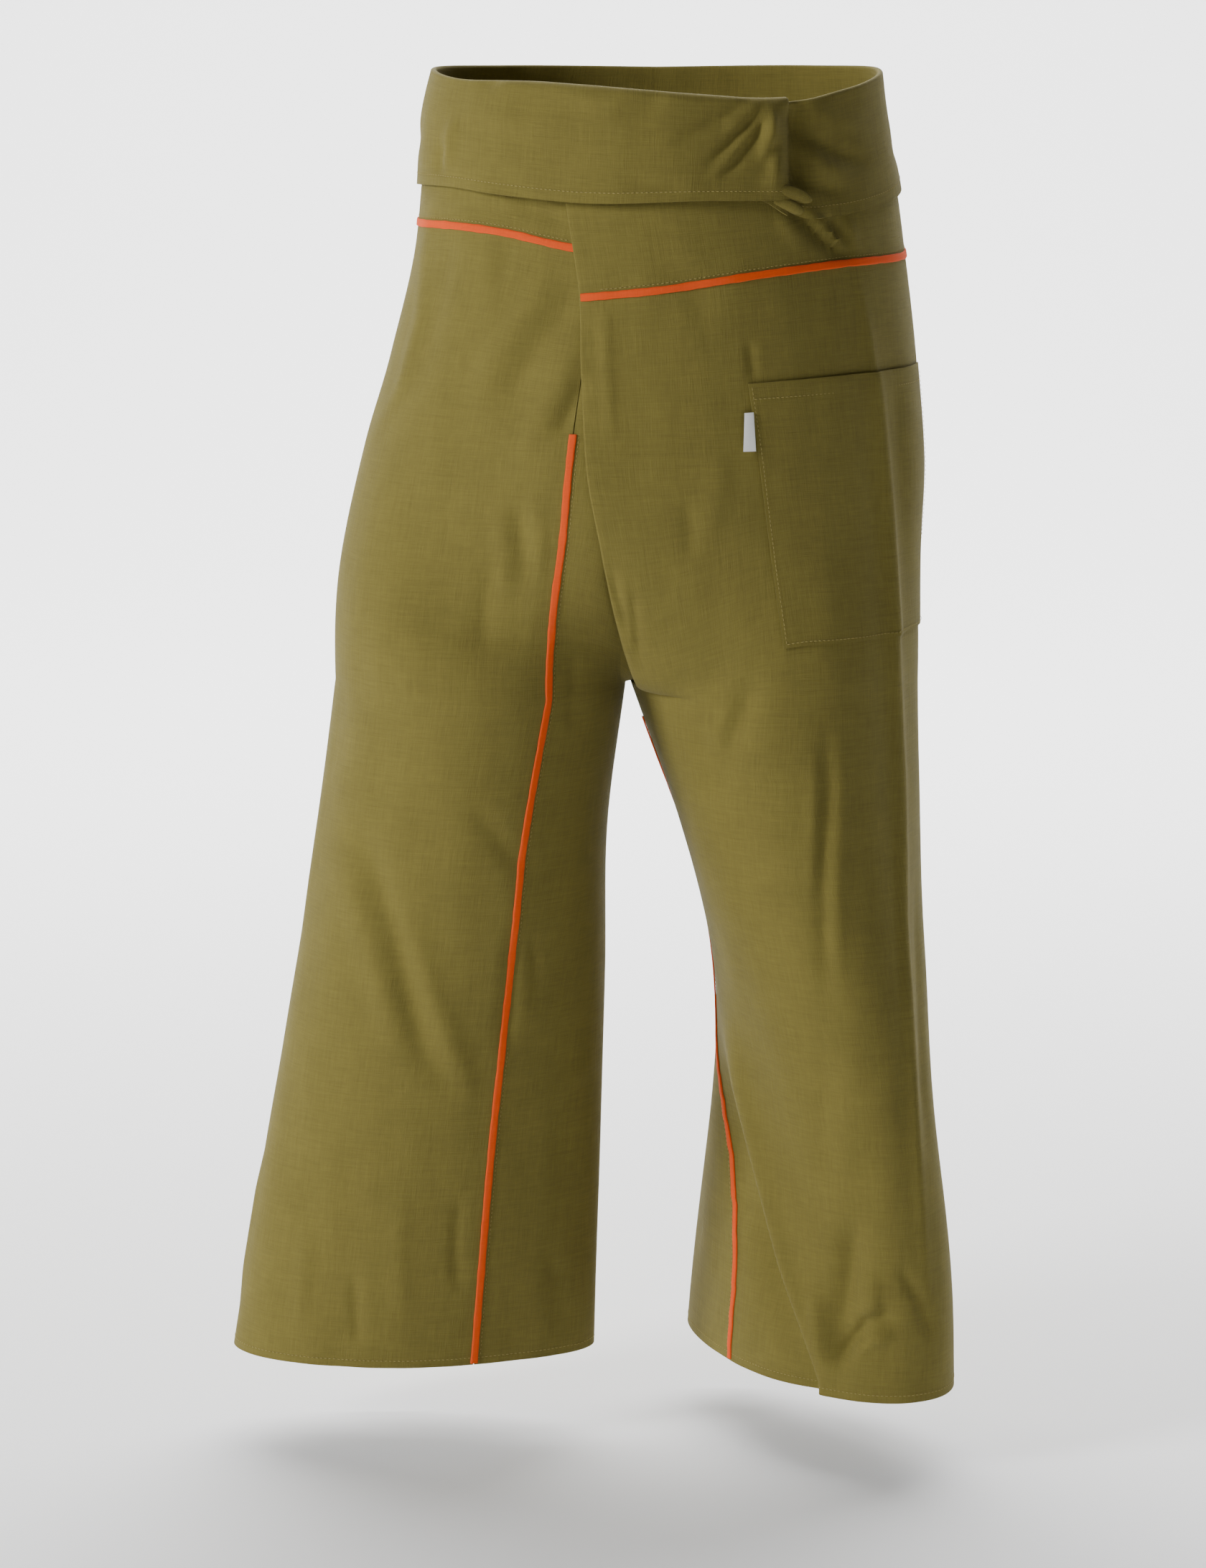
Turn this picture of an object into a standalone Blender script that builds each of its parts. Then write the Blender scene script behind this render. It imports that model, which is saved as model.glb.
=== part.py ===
# Thai fisherman pants, worn: wide wrap trousers whose waistband is folded over itself
# at the front and turned down outwards over a tie.
# Metres, +Z up, the wearer faces -Y and the wearer's left is +X.
# The origin is the centre of the waist opening, where the body holds the garment.
import bmesh
import bpy
import functools
import math
import numpy as np

for old in list(bpy.data.objects):
    bpy.data.objects.remove(old)

# Cloth
WALL = 0.0011             # modelled thickness of one ply
PLY = 0.0020              # middle to middle where plies lie on each other
SEAM_U = 0.0035           # half the gap at a seam, as a share of a station step
SEAM_Z = 0.0003           # gap at the yoke seam
BACK_GAP = 0.00025        # half the gap at centre back

# Cut sizes
BACK_TAIL = 0.120         # back half of the inner panel's width
CROTCH_Z = -0.430
TORSO_END_Z = -0.250      # below here the body tube parts into legs
HEM_Z = {"right": -0.958, "left": -0.968}
BAND_RIM_ROOM = 0.0016    # room for the tie under the turned-down band
PIPING_WIDTH = 0.0056
PIPING_WALL = 0.0009
PIPING_LIFT = 0.0007      # the piping rides over the seam and its stitching
TIE_WIDTH = 0.026
TIE_Z = -0.018
OPENING = 0.4             # plies stay apart until this little of the wrap is left
OPENED_FOLD = 0.012       # cloth of the fold's turn once the fold has opened into the leg

# Places on the cloth, by station and row
POCKET_U = (1.62, 2.335)
POCKET_T = (0.566, 1.755)
TAG_U = (1.625, 1.590)
TAG_T = (0.72, 0.93)
FRONT_PIPING_FROM = {"right": 0.86, "left": 2.05}   # where each shows below the fold
FOLD_SPREADS = (1.22, 0.5)       # the left front leaves the fold's line from here, over this
LATE_LEG = (1.8, 0.6)            # stations nearer the front turn into the leg lower down

# Body tube: half widths and depths of the outermost ply
TORSO_COLUMNS = ("z", "left_x", "right_x", "front", "back")
TORSO = (
    (0.040, -0.166, 0.159, 0.120, 0.104),
    (0.000, -0.176, 0.163, 0.124, 0.112),
    (-0.060, -0.180, 0.174, 0.132, 0.126),
    (-0.100, -0.184, 0.180, 0.137, 0.134),
    (-0.180, -0.205, 0.191, 0.141, 0.143),
    (-0.260, -0.227, 0.198, 0.139, 0.143),
    (-0.340, -0.239, 0.197, 0.131, 0.135),
    (-0.430, -0.248, 0.197, 0.121, 0.123),
)

# Front overlap: x of the left leg's fold edge, of the centre front seam and of the right
# leg's piped seam, how far from the centre the left leg's seam lies on the folded ply,
# and how much deeper the right side lies under it
OVERLAP_COLUMNS = ("z", "fold", "centre", "seam", "left_share", "sink")
OVERLAP = (
    (0.040, -0.074, 0.086, -0.040, 0.94, 0.0),
    (-0.060, -0.071, 0.086, -0.042, 0.94, 0.0),
    (-0.120, -0.062, 0.083, -0.051, 0.92, 0.0),
    (-0.200, -0.059, 0.074, -0.0635, 0.75, 0.0),
    (-0.260, -0.055, 0.065, -0.071, 0.60, 0.0015),
    (-0.310, -0.048, 0.052, -0.076, 0.55, 0.0045),
    (-0.350, -0.044, 0.040, -0.081, 0.55, 0.0055),
    (-0.430, -0.034, 0.018, -0.088, 0.55, 0.002),
)

# Legs: centre, half length of the long axis, girth, direction of the long axis and of the
# inner crease in degrees, narrowing towards the long axis's end, and how far round from the
# crease lie the middle of the front tail, the front seam and the fold that covers it above
# the crotch. The last column is the side crease's place as a share of the girth.
LEG_COLUMNS = ("z", "x", "y", "long", "girth", "turn", "crease", "taper", "half", "tail",
               "fold", "side")
LEGS = {
    "right": (
        (-0.430, -0.1380, -0.002, 0.1100, 0.708, 0, 0, 0.00, 0.034, 0.122, 0.130, 0.500),
        (-0.540, -0.1525, -0.004, 0.1120, 0.684, 0, 0, 0.00, 0.034, 0.122, 0.130, 0.500),
        (-0.655, -0.1625, -0.006, 0.1200, 0.670, 0, 0, 0.04, 0.055, 0.119, 0.130, 0.500),
        (-0.770, -0.1755, -0.008, 0.1285, 0.666, 0, 0, 0.08, 0.059, 0.117, 0.130, 0.500),
        (-0.887, -0.1875, -0.011, 0.1360, 0.666, 0, 0, 0.12, 0.058, 0.115, 0.130, 0.500),
        (-0.960, -0.1945, -0.013, 0.1415, 0.666, 0, 0, 0.14, 0.057, 0.114, 0.130, 0.500),
    ),
    "left": (
        (-0.430, 0.0860, -0.004, 0.1180, 0.716, 90, 180, 0.00, 0.013, 0.026, 0.050, 0.395),
        (-0.540, 0.1055, -0.006, 0.1200, 0.670, 95, 158, 0.02, 0.010, 0.020, 0.052, 0.430),
        (-0.655, 0.1200, -0.008, 0.1310, 0.666, 104, 142, 0.06, 0.011, 0.022, 0.070, 0.450),
        (-0.770, 0.1215, -0.010, 0.1380, 0.666, 115, 134, 0.12, 0.026, 0.052, 0.096, 0.473),
        (-0.887, 0.1205, -0.011, 0.1400, 0.666, 124, 130, 0.18, 0.060, 0.121, 0.136, 0.488),
        (-0.970, 0.1185, -0.012, 0.1380, 0.666, 128, 128, 0.20, 0.068, 0.136, 0.150, 0.500),
    ),
}
ROUND = {"right": -1, "left": 1}      # the way round from the inner crease to the front

# Heights round the body, by bearing in degrees from the front, the wearer's left positive
YOKE_RIGHT = ((-180, -0.088), (-135, -0.084), (-90, -0.083), (-40, -0.085), (-20, -0.095),
              (0, -0.099), (40, -0.101))
YOKE_LEFT = ((-25, -0.131), (0, -0.123), (18, -0.115), (38, -0.109), (90, -0.106),
             (135, -0.095), (180, -0.088))
RIM = ((-180, 0.026), (-135, 0.028), (-90, 0.028), (-60, 0.022), (-40, 0.019), (-15, 0.015),
       (10, 0.009), (26, 0.006), (36, 0.007), (52, 0.014), (90, 0.027), (135, 0.028), (180, 0.026))
BAND_HEM_OUTER = ((-180, -0.055), (-90, -0.055), (-55, -0.054), (-40, -0.057), (-16, -0.062),
                  (12, -0.060), (40, -0.061))
BAND_HEM_UNDER = ((-40, -0.058), (12, -0.059), (26, -0.061), (33, -0.072), (45, -0.073),
                  (60, -0.069), (90, -0.058), (180, -0.055))
SIDE_BEARING = {"right": -88, "left": 56}       # bearing of each side crease at the yoke
BACK_SEAM_BEARING = {"right": -147, "left": 145}
BACK_CENTRE_BEARING = 180

OLIVE = (0.150, 0.122, 0.032)
ORANGE = (0.720, 0.085, 0.008)
WHITE = (0.80, 0.80, 0.78)


def smooth(x, xs, ys):
    """Cubic curve through the points (xs, ys), flat beyond its ends."""
    xs = np.asarray(xs, float)
    ys = np.asarray(ys, float)
    if xs[0] > xs[-1]:
        xs, ys = xs[::-1], ys[::-1]
    x = np.clip(x, xs[0], xs[-1])
    slope = np.gradient(ys, xs)
    i = int(np.clip(np.searchsorted(xs, x) - 1, 0, len(xs) - 2))
    step = xs[i + 1] - xs[i]
    t = (x - xs[i]) / step
    return ((2 * t**3 - 3 * t**2 + 1) * ys[i] + (t**3 - 2 * t**2 + t) * step * slope[i]
            + (3 * t**2 - 2 * t**3) * ys[i + 1] + (t**3 - t**2) * step * slope[i + 1])


def ease(t):
    """Smooth step from 0 to 1."""
    t = min(1.0, max(0.0, t))
    return t * t * (3 - 2 * t)


@functools.lru_cache(maxsize=None)
def row_at(table, columns, z):
    """A table's columns at height z, as a dictionary."""
    heights = [row[0] for row in table]
    return {name: smooth(z, heights, [row[i] for row in table])
            for i, name in enumerate(columns)}


def by_bearing(table, bearing):
    return smooth(bearing, [row[0] for row in table], [row[1] for row in table])


def torso_point(z, bearing, depth=0.0, slide=0.0):
    """Plan point of the body tube, moved inwards by depth and along it by slide."""
    row = row_at(TORSO, TORSO_COLUMNS, z)
    half = (row["right_x"] - row["left_x"]) / 2
    middle = (row["right_x"] + row["left_x"]) / 2
    a = math.radians(bearing)
    reach = row["front"] if math.cos(a) > 0 else row["back"]
    point = np.array([middle + half * math.sin(a), -reach * math.cos(a)])
    along = np.array([half * math.cos(a), reach * math.sin(a)])
    along /= np.linalg.norm(along)
    outward = np.array([along[1], -along[0]])
    return point - depth * outward + slide * along


def bearing_of(z, x):
    """Bearing of the front point of the body tube with this x."""
    row = row_at(TORSO, TORSO_COLUMNS, z)
    half = (row["right_x"] - row["left_x"]) / 2
    middle = (row["right_x"] + row["left_x"]) / 2
    return math.degrees(math.asin((x - middle) / half))


# Stations: centre front, half way, seam, fold, fold, side, back seam, centre back
STATIONS = (0, 0.5, 1, 1.1, 1.2, 2, 3, 4)
FOLD_U = (1.1, 1.2)                    # the turn of the left leg's fold


def under_depth(z, bearing):
    """Depth of the wearer's right side, which lies under the overlap."""
    sink = row_at(OVERLAP, OVERLAP_COLUMNS, z)["sink"]
    return (2 * PLY + sink) * ease((bearing + 62) / 34)


def wrap(side, u, z):
    """Where station u lies on the body tube: bearing, depth and slide along it."""
    over = row_at(OVERLAP, OVERLAP_COLUMNS, z)
    centre = bearing_of(z, over["centre"])
    if side == "right":
        seam = bearing_of(z, over["seam"])
        marks = (centre, (centre + seam) / 2, seam, seam - 2, seam - 4, SIDE_BEARING[side],
                 BACK_SEAM_BEARING[side], -BACK_CENTRE_BEARING)
        bearing = float(np.interp(u, STATIONS, marks))
        return bearing, under_depth(z, bearing), 0.0
    fold = bearing_of(z, over["fold"])
    seam = centre + (fold - centre) * over["left_share"]
    marks = (centre, (centre + seam) / 2, seam, fold, fold, SIDE_BEARING[side],
             BACK_SEAM_BEARING[side], BACK_CENTRE_BEARING)
    turn = math.pi * min(1.0, max(0.0, (u - FOLD_U[0]) / (FOLD_U[1] - FOLD_U[0])))
    depth = PLY * (1 + math.cos(turn)) / 2
    return float(np.interp(u, STATIONS, marks)), depth, -PLY / 2 * math.sin(turn)


def arc_lengths(points):
    steps = np.linalg.norm(np.diff(points, axis=0), axis=1)
    return np.concatenate([[0], np.cumsum(steps)])


def sample(points, lengths, q):
    return np.array([np.interp(q, lengths, points[:, 0]), np.interp(q, lengths, points[:, 1])])


def oval(long, short, taper, turn):
    """Closed plan oval whose long axis points along turn, narrower at that end."""
    t = np.linspace(0, 2 * math.pi, 241)
    local = np.stack([long * np.cos(t), short * np.sin(t) * (1 - taper * np.cos(t))], 1)
    c = math.cos(math.radians(turn))
    s = math.sin(math.radians(turn))
    return local @ np.array([[c, s], [-s, c]])


@functools.lru_cache(maxsize=None)
def leg_line(side, z):
    """Plan line of a leg from its inner crease round by the front, and its stations."""
    row = row_at(LEGS[side], LEG_COLUMNS, z)
    low, high = 0.03, 0.16
    for _ in range(24):
        short = (low + high) / 2
        ring = oval(row["long"], short, row["taper"], row["turn"])
        if arc_lengths(ring)[-1] < row["girth"]:
            low = short
        else:
            high = short
    bearings = np.degrees(np.arctan2(ring[:-1, 1], ring[:-1, 0]))
    away = np.abs((bearings - row["crease"] + 180) % 360 - 180)
    ring = np.roll(ring[:-1], -int(np.argmin(away)), axis=0)
    if ROUND[side] < 0:
        ring = np.roll(ring[::-1], 1, axis=0)
    ring = np.vstack([ring, ring[:1]]) + np.array([row["x"], row["y"]])
    lengths = arc_lengths(ring)
    total = lengths[-1]
    fold_end = row["fold"] + OPENED_FOLD
    stations = [0, row["half"], row["tail"], row["fold"], fold_end, total * row["side"],
                total - BACK_TAIL, total]
    return ring, lengths, stations


def yoke_z(side, u):
    """Height of the yoke seam at a station of one side."""
    bearing = wrap(side, u, -0.10)[0]
    if side == "right":
        return by_bearing(YOKE_RIGHT, bearing)
    if u >= FOLD_U[0]:
        return by_bearing(YOKE_LEFT, bearing)
    share = u / FOLD_U[0]
    centre = by_bearing(YOKE_RIGHT, wrap("right", 0, -0.10)[0])
    return share * by_bearing(YOKE_LEFT, wrap("left", FOLD_U[0], -0.10)[0]) + (1 - share) * centre


def cloth_point(side, u, t):
    """Middle of the leg cloth: u is the station, t runs yoke 0, 1, crotch 2, hem 3."""
    nearness = ease(min(u, 4 - u))     # 0 at centre front and back, 1 on the outside
    if side == "left" and u < 2:
        nearness = ease((u - FOLD_SPREADS[0]) / FOLD_SPREADS[1])
    if t <= 1:
        z = (1 - t) * yoke_z(side, u) + t * TORSO_END_Z
        w = 0.0
    elif t < 2:
        v = t - 1
        drop = (1 - nearness) * math.sin(math.pi * v / 2) + nearness * v
        z = TORSO_END_Z + (CROTCH_Z - TORSO_END_Z) * drop
        late = ease(v) ** (1 + 2 * ease((LATE_LEG[0] - u) / LATE_LEG[1]))
        w = (1 - nearness) * (1 - math.cos(math.pi * v / 2)) + nearness * late
    else:
        z = CROTCH_Z + (HEM_Z[side] - CROTCH_Z) * (t - 2)
        w = 1.0
    point = np.zeros(2)
    if w < 1:
        apart = ROUND[side] * BACK_GAP if u == 4 else 0.0
        bearing, depth, slide = wrap(side, u, z)
        if u < 2:
            depth, slide = depth / max(1 - w, OPENING), slide / max(1 - w, OPENING)
        point += (1 - w) * (torso_point(z, bearing, depth, slide) + np.array([apart, 0]))
    if w > 0:
        points, lengths, stations = leg_line(side, z)
        q = float(np.interp(u, STATIONS, stations))
        point += w * sample(points, lengths, q)
    return np.array([point[0], point[1], z])


def material(name, colour, roughness):
    m = bpy.data.materials.get(name) or bpy.data.materials.new(name)
    m.use_nodes = True
    shader = m.node_tree.nodes["Principled BSDF"]
    shader.inputs["Base Color"].default_value = (*colour, 1)
    shader.inputs["Roughness"].default_value = roughness
    shader.inputs["Metallic"].default_value = 0.0
    return m


def grid_normals(grid):
    along_u = np.gradient(grid, axis=1)
    along_t = np.gradient(grid, axis=0)
    normal = np.cross(along_u, along_t)
    return normal / np.linalg.norm(normal, axis=2, keepdims=True)


def ring_normals(grid):
    """Normals of a grid whose last column joins its first."""
    wide = np.concatenate([grid[:, -1:], grid, grid[:, :1]], axis=1)
    return grid_normals(wide)[:, 1:-1]


def solid(name, colour, verts, faces, roughness=0.9):
    mesh = bpy.data.meshes.new(name)
    mesh.from_pydata([tuple(v) for v in verts], [], faces)
    bm = bmesh.new()
    bm.from_mesh(mesh)
    bmesh.ops.triangulate(bm, faces=bm.faces)
    bmesh.ops.recalc_face_normals(bm, faces=bm.faces)
    bm.to_mesh(mesh)
    bm.free()
    obj = bpy.data.objects.new(name, mesh)
    bpy.context.scene.collection.objects.link(obj)
    mesh.materials.append(material(name + "_cloth", colour, roughness))
    mesh.shade_smooth()
    mesh.set_sharp_from_angle(angle=math.radians(45))
    return obj


def wall(name, grid, thickness=WALL, out=0.0, closed=False, colour=OLIVE):
    """Closed solid of this thickness round a grid of middle points, moved out first."""
    normal = ring_normals(grid) if closed else grid_normals(grid)
    outer = grid + normal * (out + thickness / 2)
    inner = grid + normal * (out - thickness / 2)
    rows, columns = grid.shape[:2]
    verts = list(outer.reshape(-1, 3)) + list(inner.reshape(-1, 3))
    side = rows * columns
    faces = []
    last = columns if closed else columns - 1
    for r in range(rows - 1):
        for c in range(last):
            d = (c + 1) % columns
            a, b, e, f = r * columns + c, r * columns + d, (r + 1) * columns + d, (r + 1) * columns + c
            faces.append((a, b, e, f))
            faces.append((side + a, side + f, side + e, side + b))
    for c in range(last):
        d = (c + 1) % columns
        for r in (0, rows - 1):
            faces.append((r * columns + c, r * columns + d, side + r * columns + d,
                          side + r * columns + c))
    if not closed:
        for r in range(rows - 1):
            for c in (0, columns - 1):
                faces.append((r * columns + c, (r + 1) * columns + c,
                              side + (r + 1) * columns + c, side + r * columns + c))
    return solid(name, colour, verts, faces)


OUTER_US = {
    "right": [1.1] + list(np.linspace(1.2, 2, 10)) + list(np.linspace(2, 3, 10)[1:-1]),
    "left": [1.025, 1.05, 1.075, 1.1, 1.125, 1.15, 1.175] + list(np.linspace(1.2, 2, 10))
            + list(np.linspace(2, 3, 10)[1:-1]),
}
FRONT_TAIL_US = list(np.linspace(0, 1, 7))
BACK_TAIL_US = list(np.linspace(3, 4, 6))
CENTRE_TURNS = (0.25, 0.5, 0.75)
TORSO_ROWS = list(np.linspace(0, 1, 5)[:-1])
PART_ROWS = list(1 + np.linspace(0, 1, 9)[:-1])
LEG_ROWS = list(2 + np.linspace(0, 1, 11))
ROWS = TORSO_ROWS + PART_ROWS + LEG_ROWS


def cloth_grid(side, us, ts):
    return np.array([[cloth_point(side, u, t) for u in us] for t in ts])


def outer_panel(side):
    us = [1 + SEAM_U] + OUTER_US[side] + [3 - SEAM_U]
    grid = cloth_grid(side, us, ROWS)
    if side == "left":
        grid = grid[:, ::-1]
    return wall("leg_outer_" + side, grid)


def inner_panel(side):
    """Two tails above the crotch, one cloth below it."""
    back = [3 + SEAM_U] + BACK_TAIL_US[1:]
    front = FRONT_TAIL_US[:-1] + [1 - SEAM_U]
    crotch = len(TORSO_ROWS) + len(PART_ROWS)
    lower = cloth_grid(side, back[:-1] + front, ROWS[crotch:])
    halves = {"back": cloth_grid(side, back, ROWS[:crotch]),
              "front": cloth_grid(side, front, ROWS[:crotch])}
    middle = len(back) - 1
    whole_back = np.vstack([halves["back"], lower[:, :middle + 1]])
    whole_front = np.vstack([halves["front"], lower[:, middle:]])
    way = 1 if side == "right" else -1
    lower_normal = way * grid_normals(lower)
    normals = []
    for whole, part in ((whole_back, slice(0, middle + 1)), (whole_front, slice(middle, None))):
        n = way * grid_normals(whole)
        n[crotch:] = lower_normal[:, part]
        normals.append(n)
    verts = []
    index = {}
    for key, whole, n, start in (("back", whole_back, normals[0], 0),
                                 ("front", whole_front, normals[1], middle)):
        for r in range(whole.shape[0]):
            for c in range(whole.shape[1]):
                shared = r >= crotch and start + c == middle
                label = "both" if shared else key
                for face, sign in (("o", 1), ("i", -1)):
                    name = (label, r, start + c, face)
                    if name not in index:
                        index[name] = len(verts)
                        verts.append(whole[r, c] + sign * WALL / 2 * n[r, c])

    def vert(key, r, c, face):
        shared = r >= crotch and c == middle
        return index[("both" if shared else key, r, c, face)]

    faces = []
    rows = whole_back.shape[0]
    spans = (("back", 0, middle), ("front", middle, middle + len(front) - 1))
    for key, first, last in spans:
        for r in range(rows - 1):
            for c in range(first, last):
                for face in "oi":
                    faces.append([vert(key, r, c, face), vert(key, r, c + 1, face),
                                  vert(key, r + 1, c + 1, face), vert(key, r + 1, c, face)])
        for c in range(first, last):
            for r in (0, rows - 1):
                faces.append([vert(key, r, c, "o"), vert(key, r, c + 1, "o"),
                              vert(key, r, c + 1, "i"), vert(key, r, c, "i")])
        for r in range(rows - 1):
            for c in (first, last):
                if c == middle and r >= crotch:
                    continue
                faces.append([vert(key, r, c, "o"), vert(key, r + 1, c, "o"),
                              vert(key, r + 1, c, "i"), vert(key, r, c, "i")])
    return solid("leg_inner_" + side, OLIVE, verts, faces)


def band_path():
    """Round the waistband from centre back: (side, station, share of the centre turn)."""
    left = FRONT_TAIL_US + OUTER_US["left"] + BACK_TAIL_US
    right = FRONT_TAIL_US + OUTER_US["right"] + BACK_TAIL_US
    path = [("left", u, 0) for u in left[::-1]]
    path += [("turn", 0, share) for share in CENTRE_TURNS]
    path += [("right", u, 0) for u in right[:-1]]
    return path


def band_place(side, u, share, z):
    """Bearing, depth in plies and slide of a point of the waistband."""
    if side != "turn":
        bearing, depth, slide = wrap(side, u, z)
        return bearing, depth / PLY, slide
    turn = math.pi * share
    bearing = wrap("right", 0, z)[0]
    return bearing, 1.5 - math.cos(turn) / 2, PLY / 2 * math.sin(turn)


def band_hem_z(bearing, plies):
    outer = by_bearing(BAND_HEM_OUTER, bearing)
    under = by_bearing(BAND_HEM_UNDER, bearing)
    if bearing < -24:
        return outer
    return under + (outer - under) * ease(plies - 1)


def band_point(side, u, share, v):
    """v runs 0 yoke seam, 1 rim inside, 2 rim outside, 3 free hem of the turn-down."""
    low = yoke_z("left" if side == "left" else "right", u) + SEAM_Z
    bearing, plies, slide = band_place(side, u, share, -0.02)
    rim = by_bearing(RIM, bearing)
    hem = band_hem_z(bearing, plies)
    z = (1 - v) * low + v * rim if v < 1 else rim if v < 2 else (3 - v) * rim + (v - 2) * hem
    bearing, plies, slide = band_place(side, u, share, z)
    standing = -plies * PLY
    turned = (1 + plies) * PLY + BAND_RIM_ROOM
    radius = (turned - standing) / 2
    turn = math.pi * min(1.0, max(0.0, v - 1))
    offset = (standing + turned) / 2 - radius * math.cos(turn)
    x, y = torso_point(z, bearing, -offset, slide)
    return np.array([x, y, z + radius * math.sin(turn)])


def waistband():
    levels = list(np.linspace(0, 1, 5)) + [1.2, 1.4, 1.6, 1.8] + list(np.linspace(2, 3, 5))
    grid = np.array([[band_point(*p, v) for p in band_path()] for v in levels])
    return wall("waistband", grid, closed=True)


def strip(name, middles, across, width, thickness, out, colour):
    """Flat strip along middle points, with its width along the across vectors."""
    middles = np.array(middles)
    across = np.array(across)
    grid = np.stack([middles - across * width / 2, middles + across * width / 2], axis=1)
    return wall(name, grid, thickness, out, False, colour)


def seam_strip(name, side, u, first):
    """Piping over a leg seam from the station value first down, on the cloth's own rows."""
    ts = [first] + [t for t in ROWS if first + 0.02 < t < 2.99] + [2.995]
    step = 0.01
    middles = [cloth_point(side, u, t) for t in ts]
    across = [cloth_point(side, u + step, t) - cloth_point(side, u - step, t) for t in ts]
    across = [a / np.linalg.norm(a) for a in across]
    if side == "left":
        across = [-a for a in across]
    return strip(name, middles, across, PIPING_WIDTH, PIPING_WALL,
                 (WALL + PIPING_WALL) / 2 + PIPING_LIFT, ORANGE)


def yoke_piping(name, side, us):
    """Piping over the yoke seam on the outermost ply."""
    rows = []
    for way in (1, -1):
        row = []
        for u in us:
            z = yoke_z(side, u) + way * PIPING_WIDTH / 2
            row.append((*torso_point(z, *wrap(side, u, z)), z))
        rows.append(row)
    return wall(name, np.array(rows), PIPING_WALL, (WALL + PIPING_WALL) / 2 + PIPING_LIFT,
                False, ORANGE)


def between(values, low, high):
    """A sorted run from low to high that keeps the values in between."""
    return [low] + [v for v in values if low + 0.01 < v < high - 0.01] + [high]


def build():
    for side in ("right", "left"):
        outer_panel(side)
        inner_panel(side)
        seam_strip("piping_back_" + side, side, 3, 0.03)
    waistband()
    for side, first in FRONT_PIPING_FROM.items():
        seam_strip("piping_front_" + side, side, 1, first)
    all_us = {side: FRONT_TAIL_US[:-1] + [1] + OUTER_US[side] + BACK_TAIL_US
              for side in ("right", "left")}
    yoke_piping("piping_yoke_left", "left", between(all_us["left"], 1.2, 3.998)[::-1])
    yoke_piping("piping_yoke_right", "right", between(all_us["right"], 1.25, 3.998))
    # Patch pocket round the side crease, and the plain tag in its front edge
    rows = between(ROWS, *POCKET_T)
    grid = cloth_grid("left", between(OUTER_US["left"], *POCKET_U)[::-1], rows)
    wall("pocket", grid, 0.001, WALL + 0.0005)
    tag = cloth_grid("left", TAG_U, between(ROWS, *TAG_T))
    wall("tag", tag, 0.0007, 2 * WALL + 0.0012, False, WHITE)
    # Waist tie between the standing band and its turned-down part
    rows = []
    for z in (TIE_Z + TIE_WIDTH / 2, TIE_Z - TIE_WIDTH / 2):
        round_body = [("left", u) for u in between(all_us["left"], 1.2, 4)[::-1]]
        round_body += [("right", u) for u in between(all_us["right"], 1.32, 4)[:-1]]
        bearings = [wrap(side, u, z)[0] for side, u in round_body]
        rows.append([(*torso_point(z, b, -(PLY + BAND_RIM_ROOM) / 2), z) for b in bearings])
    wall("tie", np.array(rows))


build()
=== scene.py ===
# Thai fisherman pants, worn: the looks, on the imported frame.
# Metres, +Z up, the wearer faces -Y, the wearer's left is +X, the origin is the waist.
import math
import bpy
import numpy as np
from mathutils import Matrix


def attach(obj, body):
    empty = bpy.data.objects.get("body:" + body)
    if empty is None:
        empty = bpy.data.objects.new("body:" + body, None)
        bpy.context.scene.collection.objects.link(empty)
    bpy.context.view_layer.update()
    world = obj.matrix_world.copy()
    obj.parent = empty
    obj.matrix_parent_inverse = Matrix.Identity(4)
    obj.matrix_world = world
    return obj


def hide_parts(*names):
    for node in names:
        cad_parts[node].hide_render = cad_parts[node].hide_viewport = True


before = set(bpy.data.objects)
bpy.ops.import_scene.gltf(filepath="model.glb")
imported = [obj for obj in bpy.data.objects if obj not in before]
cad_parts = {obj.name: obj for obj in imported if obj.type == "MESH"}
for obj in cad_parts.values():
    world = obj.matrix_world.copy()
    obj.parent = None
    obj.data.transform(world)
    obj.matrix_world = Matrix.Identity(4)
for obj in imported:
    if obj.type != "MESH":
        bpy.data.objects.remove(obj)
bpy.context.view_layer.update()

# Cloth
WALL = 0.0011             # thickness of one ply
PLY = 0.0020              # middle to middle where plies lie on each other
SEAM_U = 0.0035           # half the gap at a seam, as a share of a station step
SEAM_Z = 0.0003           # gap at the yoke seam
BACK_GAP = 0.00025        # half the gap at centre back

# Cut sizes
BACK_TAIL = 0.120         # back half of the inner panel's width
CROTCH_Z = -0.430
TORSO_END_Z = -0.250
HEM_Z = {"right": -0.958, "left": -0.968}
BAND_RIM_ROOM = 0.0016
PIPING_WIDTH = 0.0056
TIE_WIDTH = 0.026
TIE_Z = -0.018
OPENING = 0.4             # least share of the body tube left where the plies spread apart
OPENED_FOLD = 0.012       # the fold's turn opened out on the leg, along the girth
SINK_FROM = -62           # bearing where the right side starts to lie under the overlap
SINK_SPAN = 34
YOKE_MIDDLE_Z = -0.10     # heights at which the yoke's and the band's bearings are read
BAND_MIDDLE_Z = -0.02
FLOOR_Z = -1.030

# Pieces on the cloth, in stations round the leg and rows down it
POCKET_U = (1.636, 2.335)
POCKET_T = (0.566, 1.755)
POCKET_LEAN = 0.045
POCKET_HEM = 0.085        # turned top of the pocket
TAG_U = (1.568, 1.598)
TAG_T = (0.72, 0.93)
TAG_LEAN = -0.008
FRONT_PIPING_FROM = {"right": 0.86, "left": 2.05}
BACK_PIPING_FROM = 0.03
LEG_END = 2.997
TIE_END_Y = -0.1232

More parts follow.
